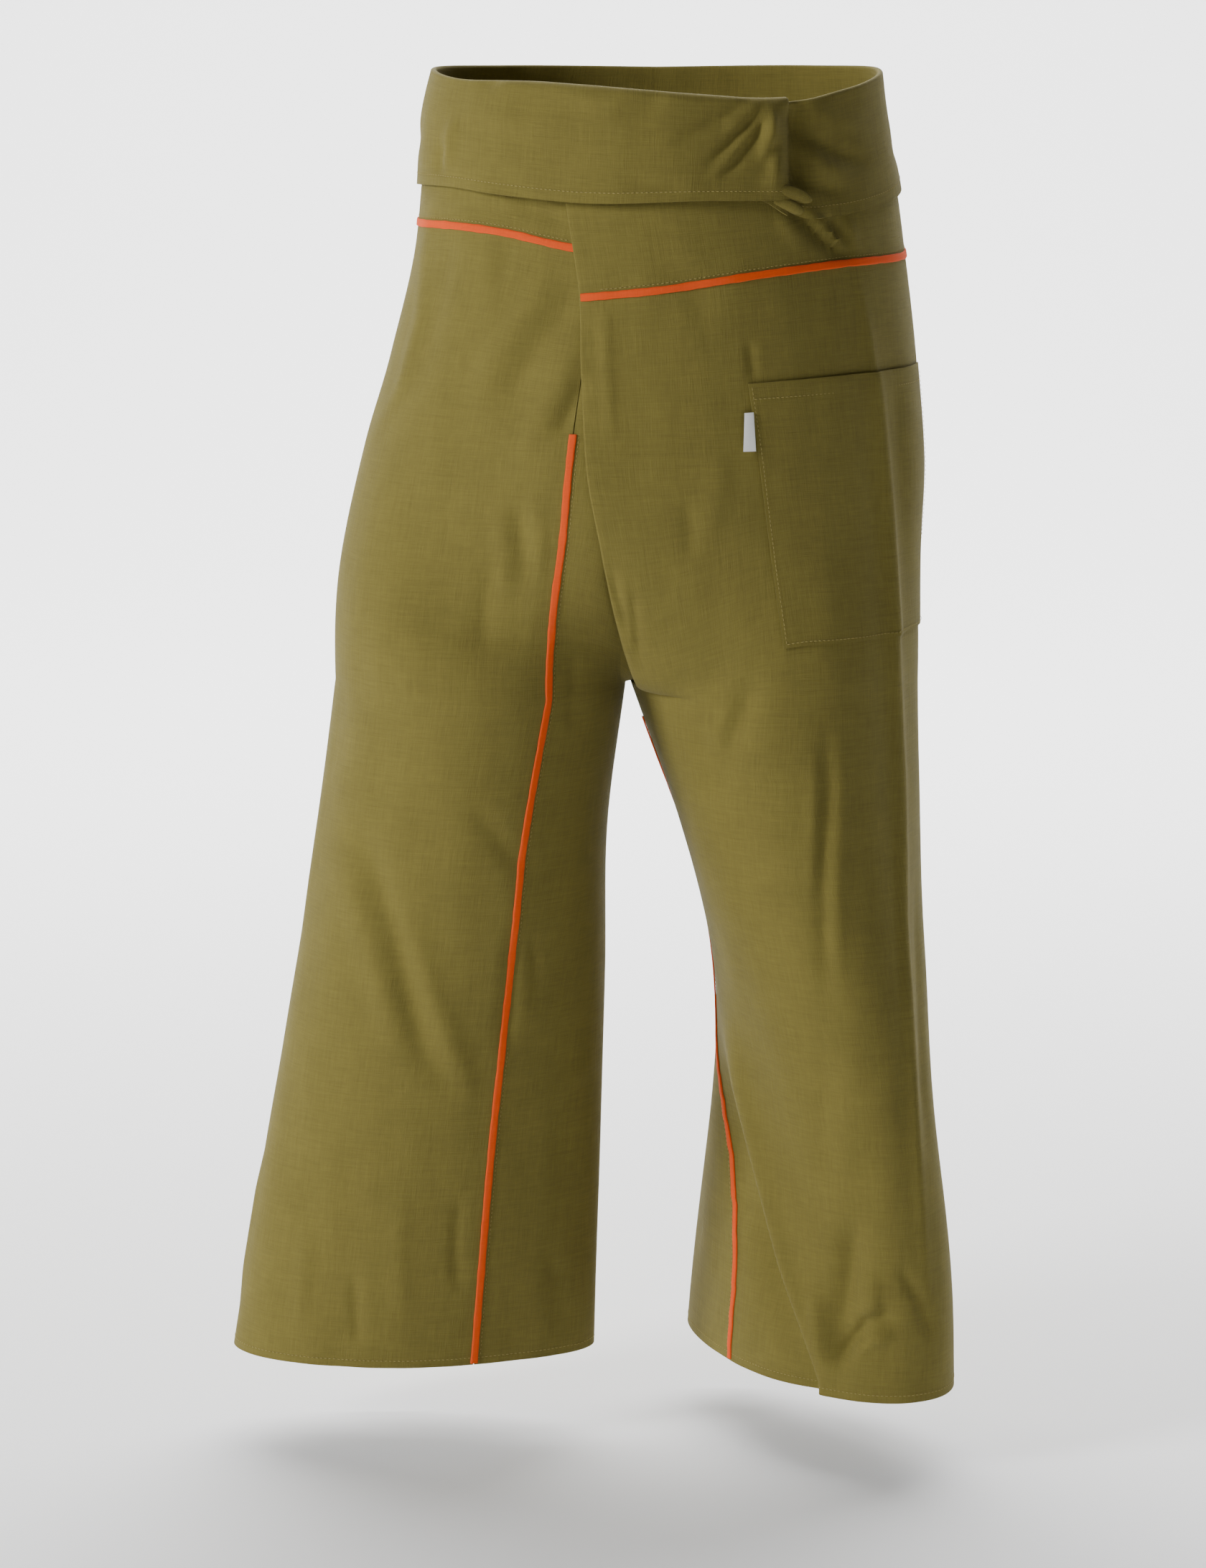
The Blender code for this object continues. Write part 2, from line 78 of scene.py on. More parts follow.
# Tapes and stitches
PIPING_THICKNESS = 0.0011
PIPING_LIFT = WALL / 2 + 0.0002
STITCH = 0.0024
PITCH = 0.0034
STITCH_HALF_WIDTH = 0.0003
STITCH_RISE = 0.0004
BESIDE_PIPING = 0.0046    # stitch line from the middle of the piping
LEG_HEM_ROW = 3 - 0.006 / 0.53
BAND_HEM_V = 2.90

# Body tube: half widths and depths of the outermost ply
TORSO_COLUMNS = ("z", "left_x", "right_x", "front", "back")
TORSO = (
    (0.040, -0.166, 0.159, 0.120, 0.104),
    (0.000, -0.176, 0.163, 0.124, 0.112),
    (-0.060, -0.180, 0.174, 0.132, 0.126),
    (-0.100, -0.184, 0.180, 0.137, 0.134),
    (-0.180, -0.205, 0.191, 0.141, 0.143),
    (-0.260, -0.227, 0.198, 0.139, 0.143),
    (-0.340, -0.239, 0.197, 0.131, 0.135),
    (-0.430, -0.248, 0.197, 0.121, 0.123),
)

# Front overlap: x of the left leg's fold edge, of the centre front seam and of the right
# leg's piped seam, how far from the centre the left leg's seam lies on the folded ply,
# and how much deeper the right side lies under it
OVERLAP_COLUMNS = ("z", "fold", "centre", "seam", "left_share", "sink")
OVERLAP = (
    (0.040, -0.074, 0.086, -0.040, 0.94, 0.0),
    (-0.060, -0.071, 0.086, -0.042, 0.94, 0.0),
    (-0.120, -0.062, 0.083, -0.051, 0.92, 0.0),
    (-0.200, -0.059, 0.074, -0.0635, 0.75, 0.0),
    (-0.260, -0.055, 0.065, -0.071, 0.60, 0.0015),
    (-0.310, -0.048, 0.052, -0.076, 0.55, 0.0045),
    (-0.350, -0.044, 0.040, -0.081, 0.55, 0.0055),
    (-0.430, -0.034, 0.018, -0.088, 0.55, 0.002),
)

# Legs: centre, half length of the long axis, girth, direction of the long axis and of the
# inner crease in degrees, narrowing towards the long axis's end, how far round from the
# crease lie the middle of the front tail, the front seam and the fold, and the side
# crease's place as a share of the girth
LEG_COLUMNS = ("z", "x", "y", "long", "girth", "turn", "crease", "taper", "half", "tail",
               "fold", "side")
LEGS = {
    "right": (
        (-0.430, -0.1380, -0.002, 0.1100, 0.708, 0, 0, 0.00, 0.034, 0.122, 0.130, 0.500),
        (-0.540, -0.1525, -0.004, 0.1120, 0.684, 0, 0, 0.00, 0.034, 0.122, 0.130, 0.500),
        (-0.655, -0.1625, -0.006, 0.1200, 0.670, 0, 0, 0.04, 0.055, 0.119, 0.130, 0.500),
        (-0.770, -0.1755, -0.008, 0.1285, 0.666, 0, 0, 0.08, 0.059, 0.117, 0.130, 0.500),
        (-0.887, -0.1875, -0.011, 0.1360, 0.666, 0, 0, 0.12, 0.058, 0.115, 0.130, 0.500),
        (-0.960, -0.1945, -0.013, 0.1415, 0.666, 0, 0, 0.14, 0.057, 0.114, 0.130, 0.500),
    ),
    "left": (
        (-0.430, 0.0860, -0.004, 0.1180, 0.716, 90, 180, 0.00, 0.013, 0.026, 0.050, 0.395),
        (-0.540, 0.1055, -0.006, 0.1200, 0.670, 95, 158, 0.02, 0.010, 0.020, 0.052, 0.430),
        (-0.655, 0.1200, -0.008, 0.1310, 0.666, 104, 142, 0.06, 0.011, 0.022, 0.070, 0.450),
        (-0.770, 0.1215, -0.010, 0.1380, 0.666, 115, 134, 0.12, 0.026, 0.052, 0.096, 0.473),
        (-0.887, 0.1205, -0.011, 0.1400, 0.666, 124, 130, 0.18, 0.060, 0.121, 0.136, 0.488),
        (-0.970, 0.1185, -0.012, 0.1380, 0.666, 128, 128, 0.20, 0.068, 0.136, 0.150, 0.500),
    ),
}
ROUND = {"right": -1, "left": 1}

# Heights round the body, by bearing in degrees from the front, the wearer's left positive
YOKE_RIGHT = ((-180, -0.088), (-135, -0.084), (-90, -0.083), (-40, -0.085), (-20, -0.095),
              (0, -0.099), (40, -0.101))
YOKE_LEFT = ((-25, -0.131), (0, -0.123), (18, -0.115), (38, -0.109), (90, -0.106),
             (135, -0.095), (180, -0.088))
RIM = ((-180, 0.026), (-135, 0.028), (-90, 0.028), (-60, 0.022), (-40, 0.019), (-15, 0.015),
       (10, 0.009), (26, 0.006), (36, 0.007), (52, 0.014), (90, 0.027), (135, 0.028), (180, 0.026))
BAND_HEM_OUTER = ((-180, -0.055), (-90, -0.055), (-55, -0.054), (-40, -0.057), (-16, -0.062),
                  (12, -0.060), (40, -0.061))
BAND_HEM_UNDER = ((-40, -0.058), (12, -0.059), (26, -0.061), (33, -0.072), (45, -0.073),
                  (60, -0.069), (90, -0.058), (180, -0.055))
SIDE_BEARING = {"right": -88, "left": 56}
BACK_SEAM_BEARING = {"right": -147, "left": 145}
BACK_CENTRE_BEARING = 180
STATIONS = np.array((0, 0.5, 1, 1.1, 1.2, 2, 3, 4))
FOLD_U = (1.1, 1.2)

# Camera
EYE = np.array((-0.045, -3.2, 0.12))
TILT = math.radians(78.8)
LENS = 97.25
SENSOR = 36.0
FRAME_W, FRAME_H = 1680.0, 2184.0      # units in which the creases below are placed


def ease(t):
    t = np.clip(t, 0, 1)
    return t * t * (3 - 2 * t)


def smooth(x, xs, ys):
    """Cubic curve through the points (xs, ys), flat beyond its ends."""
    xs = np.asarray(xs, float)
    ys = np.asarray(ys, float)
    if xs[0] > xs[-1]:
        xs, ys = xs[::-1], ys[::-1]
    x = np.clip(np.asarray(x, float), xs[0], xs[-1])
    slope = np.gradient(ys, xs)
    i = np.clip(np.searchsorted(xs, x) - 1, 0, len(xs) - 2)
    step = xs[i + 1] - xs[i]
    t = (x - xs[i]) / step
    return ((2 * t**3 - 3 * t**2 + 1) * ys[i] + (t**3 - 2 * t**2 + t) * step * slope[i]
            + (3 * t**2 - 2 * t**3) * ys[i + 1] + (t**3 - t**2) * step * slope[i + 1])


def column(table, columns, name, z):
    i = columns.index(name)
    return smooth(z, [row[0] for row in table], [row[i] for row in table])


def torso(name, z):
    return column(TORSO, TORSO_COLUMNS, name, z)


def overlap(name, z):
    return column(OVERLAP, OVERLAP_COLUMNS, name, z)


def by_bearing(table, bearing):
    return smooth(bearing, [row[0] for row in table], [row[1] for row in table])


def torso_point(z, bearing, depth=0.0, slide=0.0):
    """Plan points of the body tube, moved inwards and along it, and the outward direction."""
    half = (torso("right_x", z) - torso("left_x", z)) / 2
    middle = (torso("right_x", z) + torso("left_x", z)) / 2
    a = np.radians(bearing)
    reach = np.where(np.cos(a) > 0, torso("front", z), torso("back", z))
    point = np.stack([middle + half * np.sin(a), -reach * np.cos(a)], -1)
    along = np.stack([half * np.cos(a), reach * np.sin(a)], -1)
    along /= np.linalg.norm(along, axis=-1, keepdims=True)
    outward = np.stack([along[..., 1], -along[..., 0]], -1)
    moved = point - np.asarray(depth)[..., None] * outward + np.asarray(slide)[..., None] * along
    return moved, outward


def bearing_of(z, x):
    half = (torso("right_x", z) - torso("left_x", z)) / 2
    middle = (torso("right_x", z) + torso("left_x", z)) / 2
    return np.degrees(np.arcsin((x - middle) / half))


def along_marks(u, marks):
    """Value at station u where each station's mark is an array."""
    k = np.clip(np.searchsorted(STATIONS, u, side="right") - 1, 0, len(STATIONS) - 2)
    f = (u - STATIONS[k]) / (STATIONS[k + 1] - STATIONS[k])
    low = np.choose(k, marks[:-1])
    high = np.choose(k, marks[1:])
    return low + (high - low) * f


def wrap(side, u, z):
    """Where station u lies on the body tube: bearing, depth and slide along it."""
    u, z = np.broadcast_arrays(np.asarray(u, float), np.asarray(z, float))
    centre = bearing_of(z, overlap("centre", z))
    one = np.ones_like(z)
    if side == "right":
        seam = bearing_of(z, overlap("seam", z))
        marks = [centre, (centre + seam) / 2, seam, seam - 2, seam - 4, SIDE_BEARING[side] * one,
                 BACK_SEAM_BEARING[side] * one, -BACK_CENTRE_BEARING * one]
        bearing = along_marks(u, marks)
        depth = (2 * PLY + overlap("sink", z)) * ease((bearing - SINK_FROM) / SINK_SPAN)
        return bearing, depth, 0 * one
    fold = bearing_of(z, overlap("fold", z))
    seam = centre + (fold - centre) * overlap("left_share", z)
    marks = [centre, (centre + seam) / 2, seam, fold, fold, SIDE_BEARING[side] * one,
             BACK_SEAM_BEARING[side] * one, BACK_CENTRE_BEARING * one]
    turn = math.pi * np.clip((u - FOLD_U[0]) / (FOLD_U[1] - FOLD_U[0]), 0, 1)
    return along_marks(u, marks), PLY * (1 + np.cos(turn)) / 2, -PLY / 2 * np.sin(turn)


def oval(long, short, taper, turn):
    """Closed plan oval whose long axis points along turn, narrower at that end."""
    t = np.linspace(0, 2 * math.pi, 361)
    local = np.stack([long * np.cos(t), short * np.sin(t) * (1 - taper * np.cos(t))], 1)
    c = math.cos(math.radians(turn))
    s = math.sin(math.radians(turn))
    return local @ np.array([[c, s], [-s, c]])


def upright(plan, z=0.0):
    """Plan points or directions with a height."""
    z = np.broadcast_to(z, plan.shape[:-1])
    return np.concatenate([plan, z[..., None]], -1)


def arc_lengths(points):
    steps = np.linalg.norm(np.diff(points, axis=0), axis=1)
    return np.concatenate([[0], np.cumsum(steps)])


RING_STEPS = 480
RING_LEVELS = 120


def leg_rings(side):
    """Plan rings of one leg at even heights, each even in length from the inner crease."""
    levels = np.linspace(LEGS[side][0][0], LEGS[side][-1][0], RING_LEVELS)
    rings = []
    totals = []
    for z in levels:
        row = {n: float(column(LEGS[side], LEG_COLUMNS, n, z)) for n in LEG_COLUMNS[1:]}
        low, high = 0.03, 0.16
        for _ in range(24):
            short = (low + high) / 2
            ring = oval(row["long"], short, row["taper"], row["turn"])
            if arc_lengths(ring)[-1] < row["girth"]:
                low = short
            else:
                high = short
        bearings = np.degrees(np.arctan2(ring[:-1, 1], ring[:-1, 0]))
        away = np.abs((bearings - row["crease"] + 180) % 360 - 180)
        first = int(np.argmin(away))
        ring = np.roll(ring[:-1], -first, axis=0)
        if ROUND[side] < 0:
            ring = np.roll(ring[::-1], 1, axis=0)
        ring = np.vstack([ring, ring[:1]]) + np.array([row["x"], row["y"]])
        lengths = arc_lengths(ring)
        q = np.linspace(0, lengths[-1], RING_STEPS + 1)
        rings.append(np.stack([np.interp(q, lengths, ring[:, 0]),
                               np.interp(q, lengths, ring[:, 1])], 1))
        totals.append(lengths[-1])
    return np.array(rings), np.array(totals)


RINGS = {side: leg_rings(side) for side in LEGS}


def leg_point(side, u, z):
    """Plan point of a leg's cloth and its outward direction."""
    rings, totals = RINGS[side]
    top, bottom = LEGS[side][0][0], LEGS[side][-1][0]
    level = np.clip((z - top) / (bottom - top), 0, 1) * (RING_LEVELS - 1)
    i = np.clip(level.astype(int), 0, RING_LEVELS - 2)
    f = level - i
    total = totals[i] * (1 - f) + totals[i + 1] * f
    names = {n: column(LEGS[side], LEG_COLUMNS, n, z) for n in ("half", "tail", "fold", "side")}
    marks = [0 * total, names["half"], names["tail"], names["fold"],
             names["fold"] + OPENED_FOLD, total * names["side"], total - BACK_TAIL, total]
    q = along_marks(u, marks) / total * RING_STEPS

    def at(q):
        q = np.clip(q, 0, RING_STEPS)
        j = np.clip(q.astype(int), 0, RING_STEPS - 1)
        g = (q - j)[..., None]
        upper = rings[i, j] * (1 - g) + rings[i, j + 1] * g
        lower = rings[i + 1, j] * (1 - g) + rings[i + 1, j + 1] * g
        return upper * (1 - f[..., None]) + lower * f[..., None]

    along = at(q + 1.5) - at(q - 1.5)
    along /= np.linalg.norm(along, axis=-1, keepdims=True)
    outward = np.stack([along[..., 1], -along[..., 0]], -1) * ROUND[side]
    return at(q), outward


def yoke_z(side, u):
    """Height of the yoke seam at a station of one side."""
    u = np.asarray(u, float)
    bearing = wrap(side, u, YOKE_MIDDLE_Z)[0]
    if side == "right":
        return by_bearing(YOKE_RIGHT, bearing)
    share = u / FOLD_U[0]
    centre = by_bearing(YOKE_RIGHT, wrap("right", 0, YOKE_MIDDLE_Z)[0])
    edge = by_bearing(YOKE_LEFT, wrap("left", FOLD_U[0], YOKE_MIDDLE_Z)[0])
    return np.where(u >= FOLD_U[0], by_bearing(YOKE_LEFT, bearing),
                    share * edge + (1 - share) * centre)


def cloth_base(side, u, t):
    """Middle of the plain leg cloth, and the outward direction in plan."""
    u, t = np.broadcast_arrays(np.asarray(u, float), np.asarray(t, float))
    near = ease(np.minimum(u, 4 - u))
    if side == "left":
        near = np.where(u < 2, ease((u - 1.22) / 0.5), near)
    v = np.clip(t - 1, 0, 1)
    drop = (1 - near) * np.sin(math.pi * v / 2) + near * v
    late = ease(v) ** (1 + 2 * ease((1.8 - u) / 0.6))
    w = (1 - near) * (1 - np.cos(math.pi * v / 2)) + near * late
    z = np.where(t <= 1, (1 - t) * yoke_z(side, u) + t * TORSO_END_Z,
                 TORSO_END_Z + (CROTCH_Z - TORSO_END_Z) * drop)
    z = np.where(t < 2, z, CROTCH_Z + (HEM_Z[side] - CROTCH_Z) * (t - 2))
    w = np.where(t <= 1, 0.0, np.where(t < 2, w, 1.0))
    bearing, depth, slide = wrap(side, u, z)
    spread = np.where(u < 2, 1 / np.maximum(1 - w, OPENING), 1.0)
    body, body_out = torso_point(z, bearing, depth * spread, slide * spread)
    body[..., 0] += np.where(u == 4, ROUND[side] * BACK_GAP, 0.0)
    leg, leg_out = leg_point(side, u, z)
    plan = (1 - w)[..., None] * body + w[..., None] * leg
    out = (1 - w)[..., None] * body_out + w[..., None] * leg_out
    out /= np.maximum(np.linalg.norm(out, axis=-1, keepdims=True), 1e-6)
    return upright(plan, z), out


def band_base(side, u, share, v):
    """Middle of the plain waistband. side 1 right, 0 the centre front turn, -1 left; v runs
    0 yoke seam, 1 rim inside, 2 rim outside, 3 free hem of the turn-down."""
    side, u, share, v = np.broadcast_arrays(side, u, share, v)

    def place(z):
        right = wrap("right", u, z)
        left = wrap("left", u, z)
        turn = math.pi * share
        bearing = np.where(side >= 0, right[0], left[0])
        plies = np.where(side > 0, right[1] / PLY, left[1] / PLY)
        plies = np.where(side == 0, 1.5 - np.cos(turn) / 2, plies)
        slide = np.where(side > 0, right[2], left[2])
        slide = np.where(side == 0, PLY / 2 * np.sin(turn), slide)
        return bearing, plies, slide

    low = np.where(side < 0, yoke_z("left", u), yoke_z("right", u)) + SEAM_Z
    bearing, plies, slide = place(np.full(u.shape, BAND_MIDDLE_Z))
    rim = by_bearing(RIM, bearing)
    outer = by_bearing(BAND_HEM_OUTER, bearing)
    under = by_bearing(BAND_HEM_UNDER, bearing)
    hem = np.where(bearing < -24, outer, under + (outer - under) * ease(plies - 1))
    z = np.where(v < 1, (1 - v) * low + v * rim, np.where(v < 2, rim, (3 - v) * rim + (v - 2) * hem))
    bearing, plies, slide = place(z)
    standing = -plies * PLY
    turned = (1 + plies) * PLY + BAND_RIM_ROOM
    radius = (turned - standing) / 2
    turn = math.pi * np.clip(v - 1, 0, 1)
    offset = (standing + turned) / 2 - radius * np.cos(turn)
    plan, out = torso_point(z, bearing, -offset, slide)
    return upright(plan, z + radius * np.sin(turn)), out


# Creases as seen from the front: points and half width in frame units, then the height in
# millimetres, positive for ridges and negative for troughs
FRONT_CREASES = (
    # waistband: gathers that run down from the pinched end of the overlap
    (((1070, 142), (1042, 176), (1010, 208), (976, 236)), 7, -1.6),
    (((1074, 146), (1054, 190), (1028, 224), (1000, 254)), 7, -1.5),
    (((1062, 138), (1016, 160), (966, 186), (930, 204)), 10, -1.3),
    (((1072, 144), (1048, 182), (1018, 216), (986, 246)), 6, 1.2),
    (((1078, 150), (1070, 190), (1058, 226)), 7, 1.8),
    (((1062, 142), (1036, 160), (1008, 182)), 8, 1.4),
    (((1084, 190), (1072, 216), (1066, 250)), 9, -1.3),
    (((930, 130), (900, 150), (850, 158)), 14, -1.0),
    (((760, 126), (830, 140), (900, 146)), 12, 0.8),
    (((640, 150), (720, 170), (800, 176)), 18, 0.9),
    (((620, 196), (614, 224), (612, 248)), 7, -1.5),
    (((632, 160), (626, 200), (622, 240)), 8, 1.6),
    (((700, 112), (680, 118), (664, 110)), 6, -1.6),
    (((860, 262), (900, 258), (960, 262)), 10, -0.9),
    # waistband: dark side behind the overlap
    (((1100, 160), (1130, 190), (1170, 214), (1220, 232)), 12, -1.8),
    (((1098, 190), (1140, 226), (1190, 250)), 12, 1.5),
    (((1110, 140), (1160, 166), (1210, 176)), 12, 1.0),
    (((1100, 236), (1130, 256), (1180, 272)), 9, -1.4),
    # the dark step behind the overlap's end
    (((1108, 128), (1112, 180), (1112, 230), (1114, 276)), 14, -6.0),
    (((1068, 140), (1076, 180), (1078, 230), (1080, 276)), 14, 3.0),
    # body below the waistband: folds dragged from the pinched end
    (((1088, 276), (1116, 300), (1136, 322), (1164, 346), (1192, 358)), 9, -3.6),
    (((1108, 284), (1136, 306), (1158, 330), (1188, 350)), 8, 3.0),
    (((1146, 298), (1172, 326), (1190, 346)), 7, -2.2),
    (((1174, 300), (1186, 326), (1192, 346)), 6, 1.6),
    (((1080, 292), (1096, 314), (1124, 342)), 8, 1.2),
    (((712, 284), (752, 296), (790, 312)), 10, -1.6),
    (((650, 262), (700, 276), (740, 290)), 10, 1.1),
    (((716, 340), (700, 372), (690, 402)), 12, -1.0),
    # right thigh: soft diagonals from the overlap
    (((808, 380), (780, 440), (736, 506), (690, 590)), 20, -2.2),
    (((770, 370), (736, 430), (690, 500), (650, 570)), 18, 1.5),
    (((812, 460), (784, 530), (752, 590), (720, 650)), 17, 1.5),
    (((816, 520), (796, 570), (774, 610)), 11, -1.5),
    (((716, 690), (726, 750), (730, 820)), 13, -1.5),
    (((692, 700), (702, 770), (704, 850)), 13, 1.1),
    (((682, 780), (676, 850), (674, 920)), 14, -1.1),
    (((744, 680), (752, 740), (750, 820)), 10, 0.8),
    (((610, 262), (594, 350), (585, 440), (556, 540), (510, 625)), 9, 1.4),
    (((634, 300), (614, 400), (590, 500), (556, 600)), 14, -1.0),
    # left front: beside the fold edge and down to the crotch
    (((846, 786), (870, 850), (880, 900)), 9, -2.0),
    (((880, 820), (886, 880), (890, 930)), 8, -1.6),
    (((862, 800), (876, 860), (884, 916)), 7, 1.5),
    (((842, 420), (846, 520), (852, 620)), 9, 0.9),
    (((952, 690), (962, 740), (960, 790)), 12, -0.9),
    (((1042, 470), (1046, 500), (1050, 532)), 7, -1.2),
    (((900, 330), (960, 400), (990, 470)), 22, -0.9),
    (((1010, 620), (1000, 700), (984, 760)), 16, 0.8),
    # left side crease, pressed sharp, and its neighbours
    (((1182, 300), (1194, 380), (1212, 480), (1222, 560), (1234, 700), (1246, 880), (1254, 1080),
      (1258, 1280), (1272, 1500), (1284, 1700), (1296, 1890)), 7, 2.6),
    (((1176, 420), (1196, 520), (1212, 700), (1226, 900), (1236, 1100), (1242, 1300)), 14, -1.2),
    (((1230, 420), (1244, 520), (1256, 700), (1266, 900), (1272, 1100)), 12, -1.4),
    (((1150, 1000), (1152, 1100), (1146, 1200), (1148, 1300), (1156, 1420)), 12, -1.5),
    (((1168, 1000), (1170, 1120), (1164, 1240), (1170, 1400)), 12, 1.2),
    (((1134, 1040), (1134, 1150), (1130, 1260)), 10, 1.0),
    (((1276, 1180), (1280, 1320), (1288, 1500), (1296, 1640)), 6, -1.6),
    (((1056, 932), (1036, 990), (1010, 1060), (1004, 1120)), 18, -1.8),
    (((966, 990), (984, 1050), (996, 1110)), 14, -1.2),
    (((1020, 960), (1006, 1010), (994, 1050)), 14, 1.2),
    (((1150, 1450), (1144, 1560), (1150, 1660)), 18, -1.0),
    # left shin: the long front ridge, and the break at the hem
    (((990, 1340), (1001, 1384), (1026, 1510), (1060, 1649), (1089, 1763), (1123, 1868),
      (1142, 1912)), 11, 4.2),
    (((966, 1372), (978, 1440), (1002, 1540), (1032, 1650), (1058, 1740), (1086, 1830),
      (1100, 1900)), 20, -5.0),
    (((1030, 1360), (1060, 1500), (1098, 1640), (1130, 1750)), 22, -1.0),
    (((1186, 1690), (1178, 1780), (1168, 1840), (1156, 1910)), 20, -5.0),
    (((1156, 1912), (1180, 1876), (1206, 1846), (1250, 1824)), 13, -5.2),
    (((1130, 1790), (1136, 1850), (1146, 1908)), 11, 2.6),
    (((1210, 1770), (1214, 1820), (1222, 1880)), 14, 2.6),
    (((1250, 1760), (1280, 1810), (1296, 1870)), 9, -2.0),
    (((1180, 1890), (1214, 1868), (1250, 1858)), 9, 2.0),
    # right leg: broad diagonal from the knee, and small vertical ones
    (((490, 1124), (520, 1220), (552, 1318), (592, 1466), (640, 1530)), 20, -3.0),
    (((476, 1180), (506, 1290), (540, 1400), (566, 1480)), 22, 1.8),
    (((560, 1260), (600, 1380), (634, 1470), (668, 1560)), 18, 1.6),
    (((716, 1280), (710, 1380), (700, 1480)), 13, -1.6),
    (((650, 1120), (690, 1160), (730, 1220)), 17, -1.2),
    (((640, 1660), (634, 1740), (640, 1810)), 9, -1.3),
    (((492, 1770), (496, 1830), (500, 1880)), 9, -1.3),
    (((430, 1700), (420, 1790), (416, 1860)), 13, 1.1),
    (((560, 1640), (556, 1740), (560, 1850)), 16, 1.0),
    (((742, 1298), (746, 1350), (744, 1400)), 7, -1.4),
    (((800, 900), (798, 960), (794, 1020)), 8, -1.4),
    (((766, 1540), (800, 1500), (834, 1470)), 12, 1.0),
    (((760, 1720), (776, 1800), (780, 1870)), 12, -1.2),
    (((480, 940), (474, 1010), (476, 1080)), 16, -1.0),
    # back part of the left leg seen under the ridge
    (((1000, 1560), (1012, 1640), (1026, 1720)), 12, -1.6),
    (((976, 1640), (984, 1720), (990, 1790)), 14, 1.2),
)

# The same seen from the back: x towards the viewer's right and z, in millimetres
BACK_CREASES = (
    (((-150, -120), (-120, -200), (-90, -290)), 12, -2.0),
    (((-120, -115), (-96, -190), (-60, -270)), 11, 1.5),
    (((150, -125), (124, -210), (84, -300)), 12, -1.8),
    (((104, -120), (90, -180), (62, -240)), 12, 1.4),
    (((-14, -110), (-10, -180), (-6, -250)), 9, -1.2),
    (((16, -120), (12, -190), (10, -240)), 9, 0.9),
    (((-190, -400), (-120, -396), (-50, -420)), 12, -3.0),
    (((-180, -424), (-116, -424), (-56, -446)), 12, 2.2),
    (((196, -404), (150, -398), (70, -424)), 12, -3.0),
    (((210, -430), (150, -426), (90, -446)), 12, 2.0),
    (((-130, -470), (-124, -560), (-116, -660)), 12, -2.0),
    (((-96, -600), (-100, -700), (-104, -800)), 12, 1.8),
    (((-150, -700), (-140, -800), (-150, -900)), 13, -1.8),
    (((110, -480), (130, -580), (150, -680)), 13, -2.2),
    (((190, -500), (186, -620), (196, -740)), 12, 1.7),
    (((230, -620), (236, -740), (250, -860)), 12, -1.8),
    (((150, -760), (160, -860), (160, -930)), 11, 1.6),
    (((200, -800), (206, -880), (210, -940)), 10, -1.4),
    (((-80, -840), (-90, -900), (-96, -950)), 11, -1.8),
    (((-100, 0), (-60, -20), (10, -26)), 9, -1.2),
    (((110, 10), (60, -14), (20, -30)), 9, 1.1),
    (((-140, -30), (-100, -44), (-40, -40)), 8, 1.0),
)

# The same seen from the wearer's left: y towards the viewer's right, and z
LEFT_CREASES = (
    (((40, -130), (30, -220), (44, -320)), 13, -1.6),
    (((84, -140), (80, -240), (86, -330)), 13, 1.3),
    (((60, -410), (40, -480), (24, -560)), 14, -2.2),
    (((96, -430), (84, -520), (70, -620)), 13, 1.8),
    (((20, -620), (24, -720), (10, -830)), 15, -1.9),
    (((56, -700), (60, -800), (50, -900)), 13, 1.6),
    (((-20, -760), (-16, -860), (-30, -930)), 12, -1.4),
    (((90, -860), (88, -910), (84, -950)), 10, -1.4),
    (((60, 0), (20, -22), (-30, -36)), 9, -1.0),
)

# The same seen from the wearer's right: y towards the viewer's left, and z
RIGHT_CREASES = (
    (((-50, -130), (-30, -230), (-36, -330)), 13, -1.6),
    (((60, -140), (50, -240), (60, -320)), 13, 1.4),
    (((-50, -420), (-30, -500), (-10, -590)), 14, -2.2),
    (((40, -440), (36, -540), (24, -640)), 14, 1.8),
    (((-20, -660), (-24, -760), (-14, -860)), 13, -1.9),
    (((14, -800), (10, -880), (12, -930)), 11, 1.5),
    (((50, 4), (20, -18), (-30, -30)), 9, -1.0),
)

CREASE_GAIN = 1.5         # what every height above is multiplied by


def stroke_field(points, strokes, scale):
    """Sum of soft strokes at plan points, in metres."""
    total = np.zeros(len(points))
    for path, half, height in strokes:
        path = np.array(path, float) * scale
        half = half * scale
        near = np.where((points >= path.min(0) - 3 * half).all(1)
                        & (points <= path.max(0) + 3 * half).all(1))[0]
        if not len(near):
            continue
        p = points[near]
        run = arc_lengths(path)
        best = np.full(len(near), 1e9)
        place = np.zeros(len(near))
        for k in range(len(path) - 1):
            step = path[k + 1] - path[k]
            f = np.clip(((p - path[k]) @ step) / (step @ step), 0, 1)
            d = np.linalg.norm(p - path[k] - f[:, None] * step, axis=1)
            closer = d < best
            best = np.where(closer, d, best)
            place = np.where(closer, (run[k] + f * (run[k + 1] - run[k])) / run[-1], place)
        fade = ease(place / 0.3) * ease((1 - place) / 0.3) * 0.85 + 0.15 * (
            ease(place / 0.1) * ease((1 - place) / 0.1))
        total[near] += CREASE_GAIN * height * 1e-3 * fade * np.exp(-(best / half) ** 2)
    return total


def seen(points):
    """Where points show from the camera, in frame units."""
    d = points - EYE
    c, s = math.cos(TILT), math.sin(TILT)
    right = d[:, 0]
    up = d[:, 1] * c + d[:, 2] * s
    away = d[:, 1] * s - d[:, 2] * c
    k = LENS / SENSOR * FRAME_H / away
    return np.stack([FRAME_W / 2 + right * k, FRAME_H / 2 - up * k], 1)


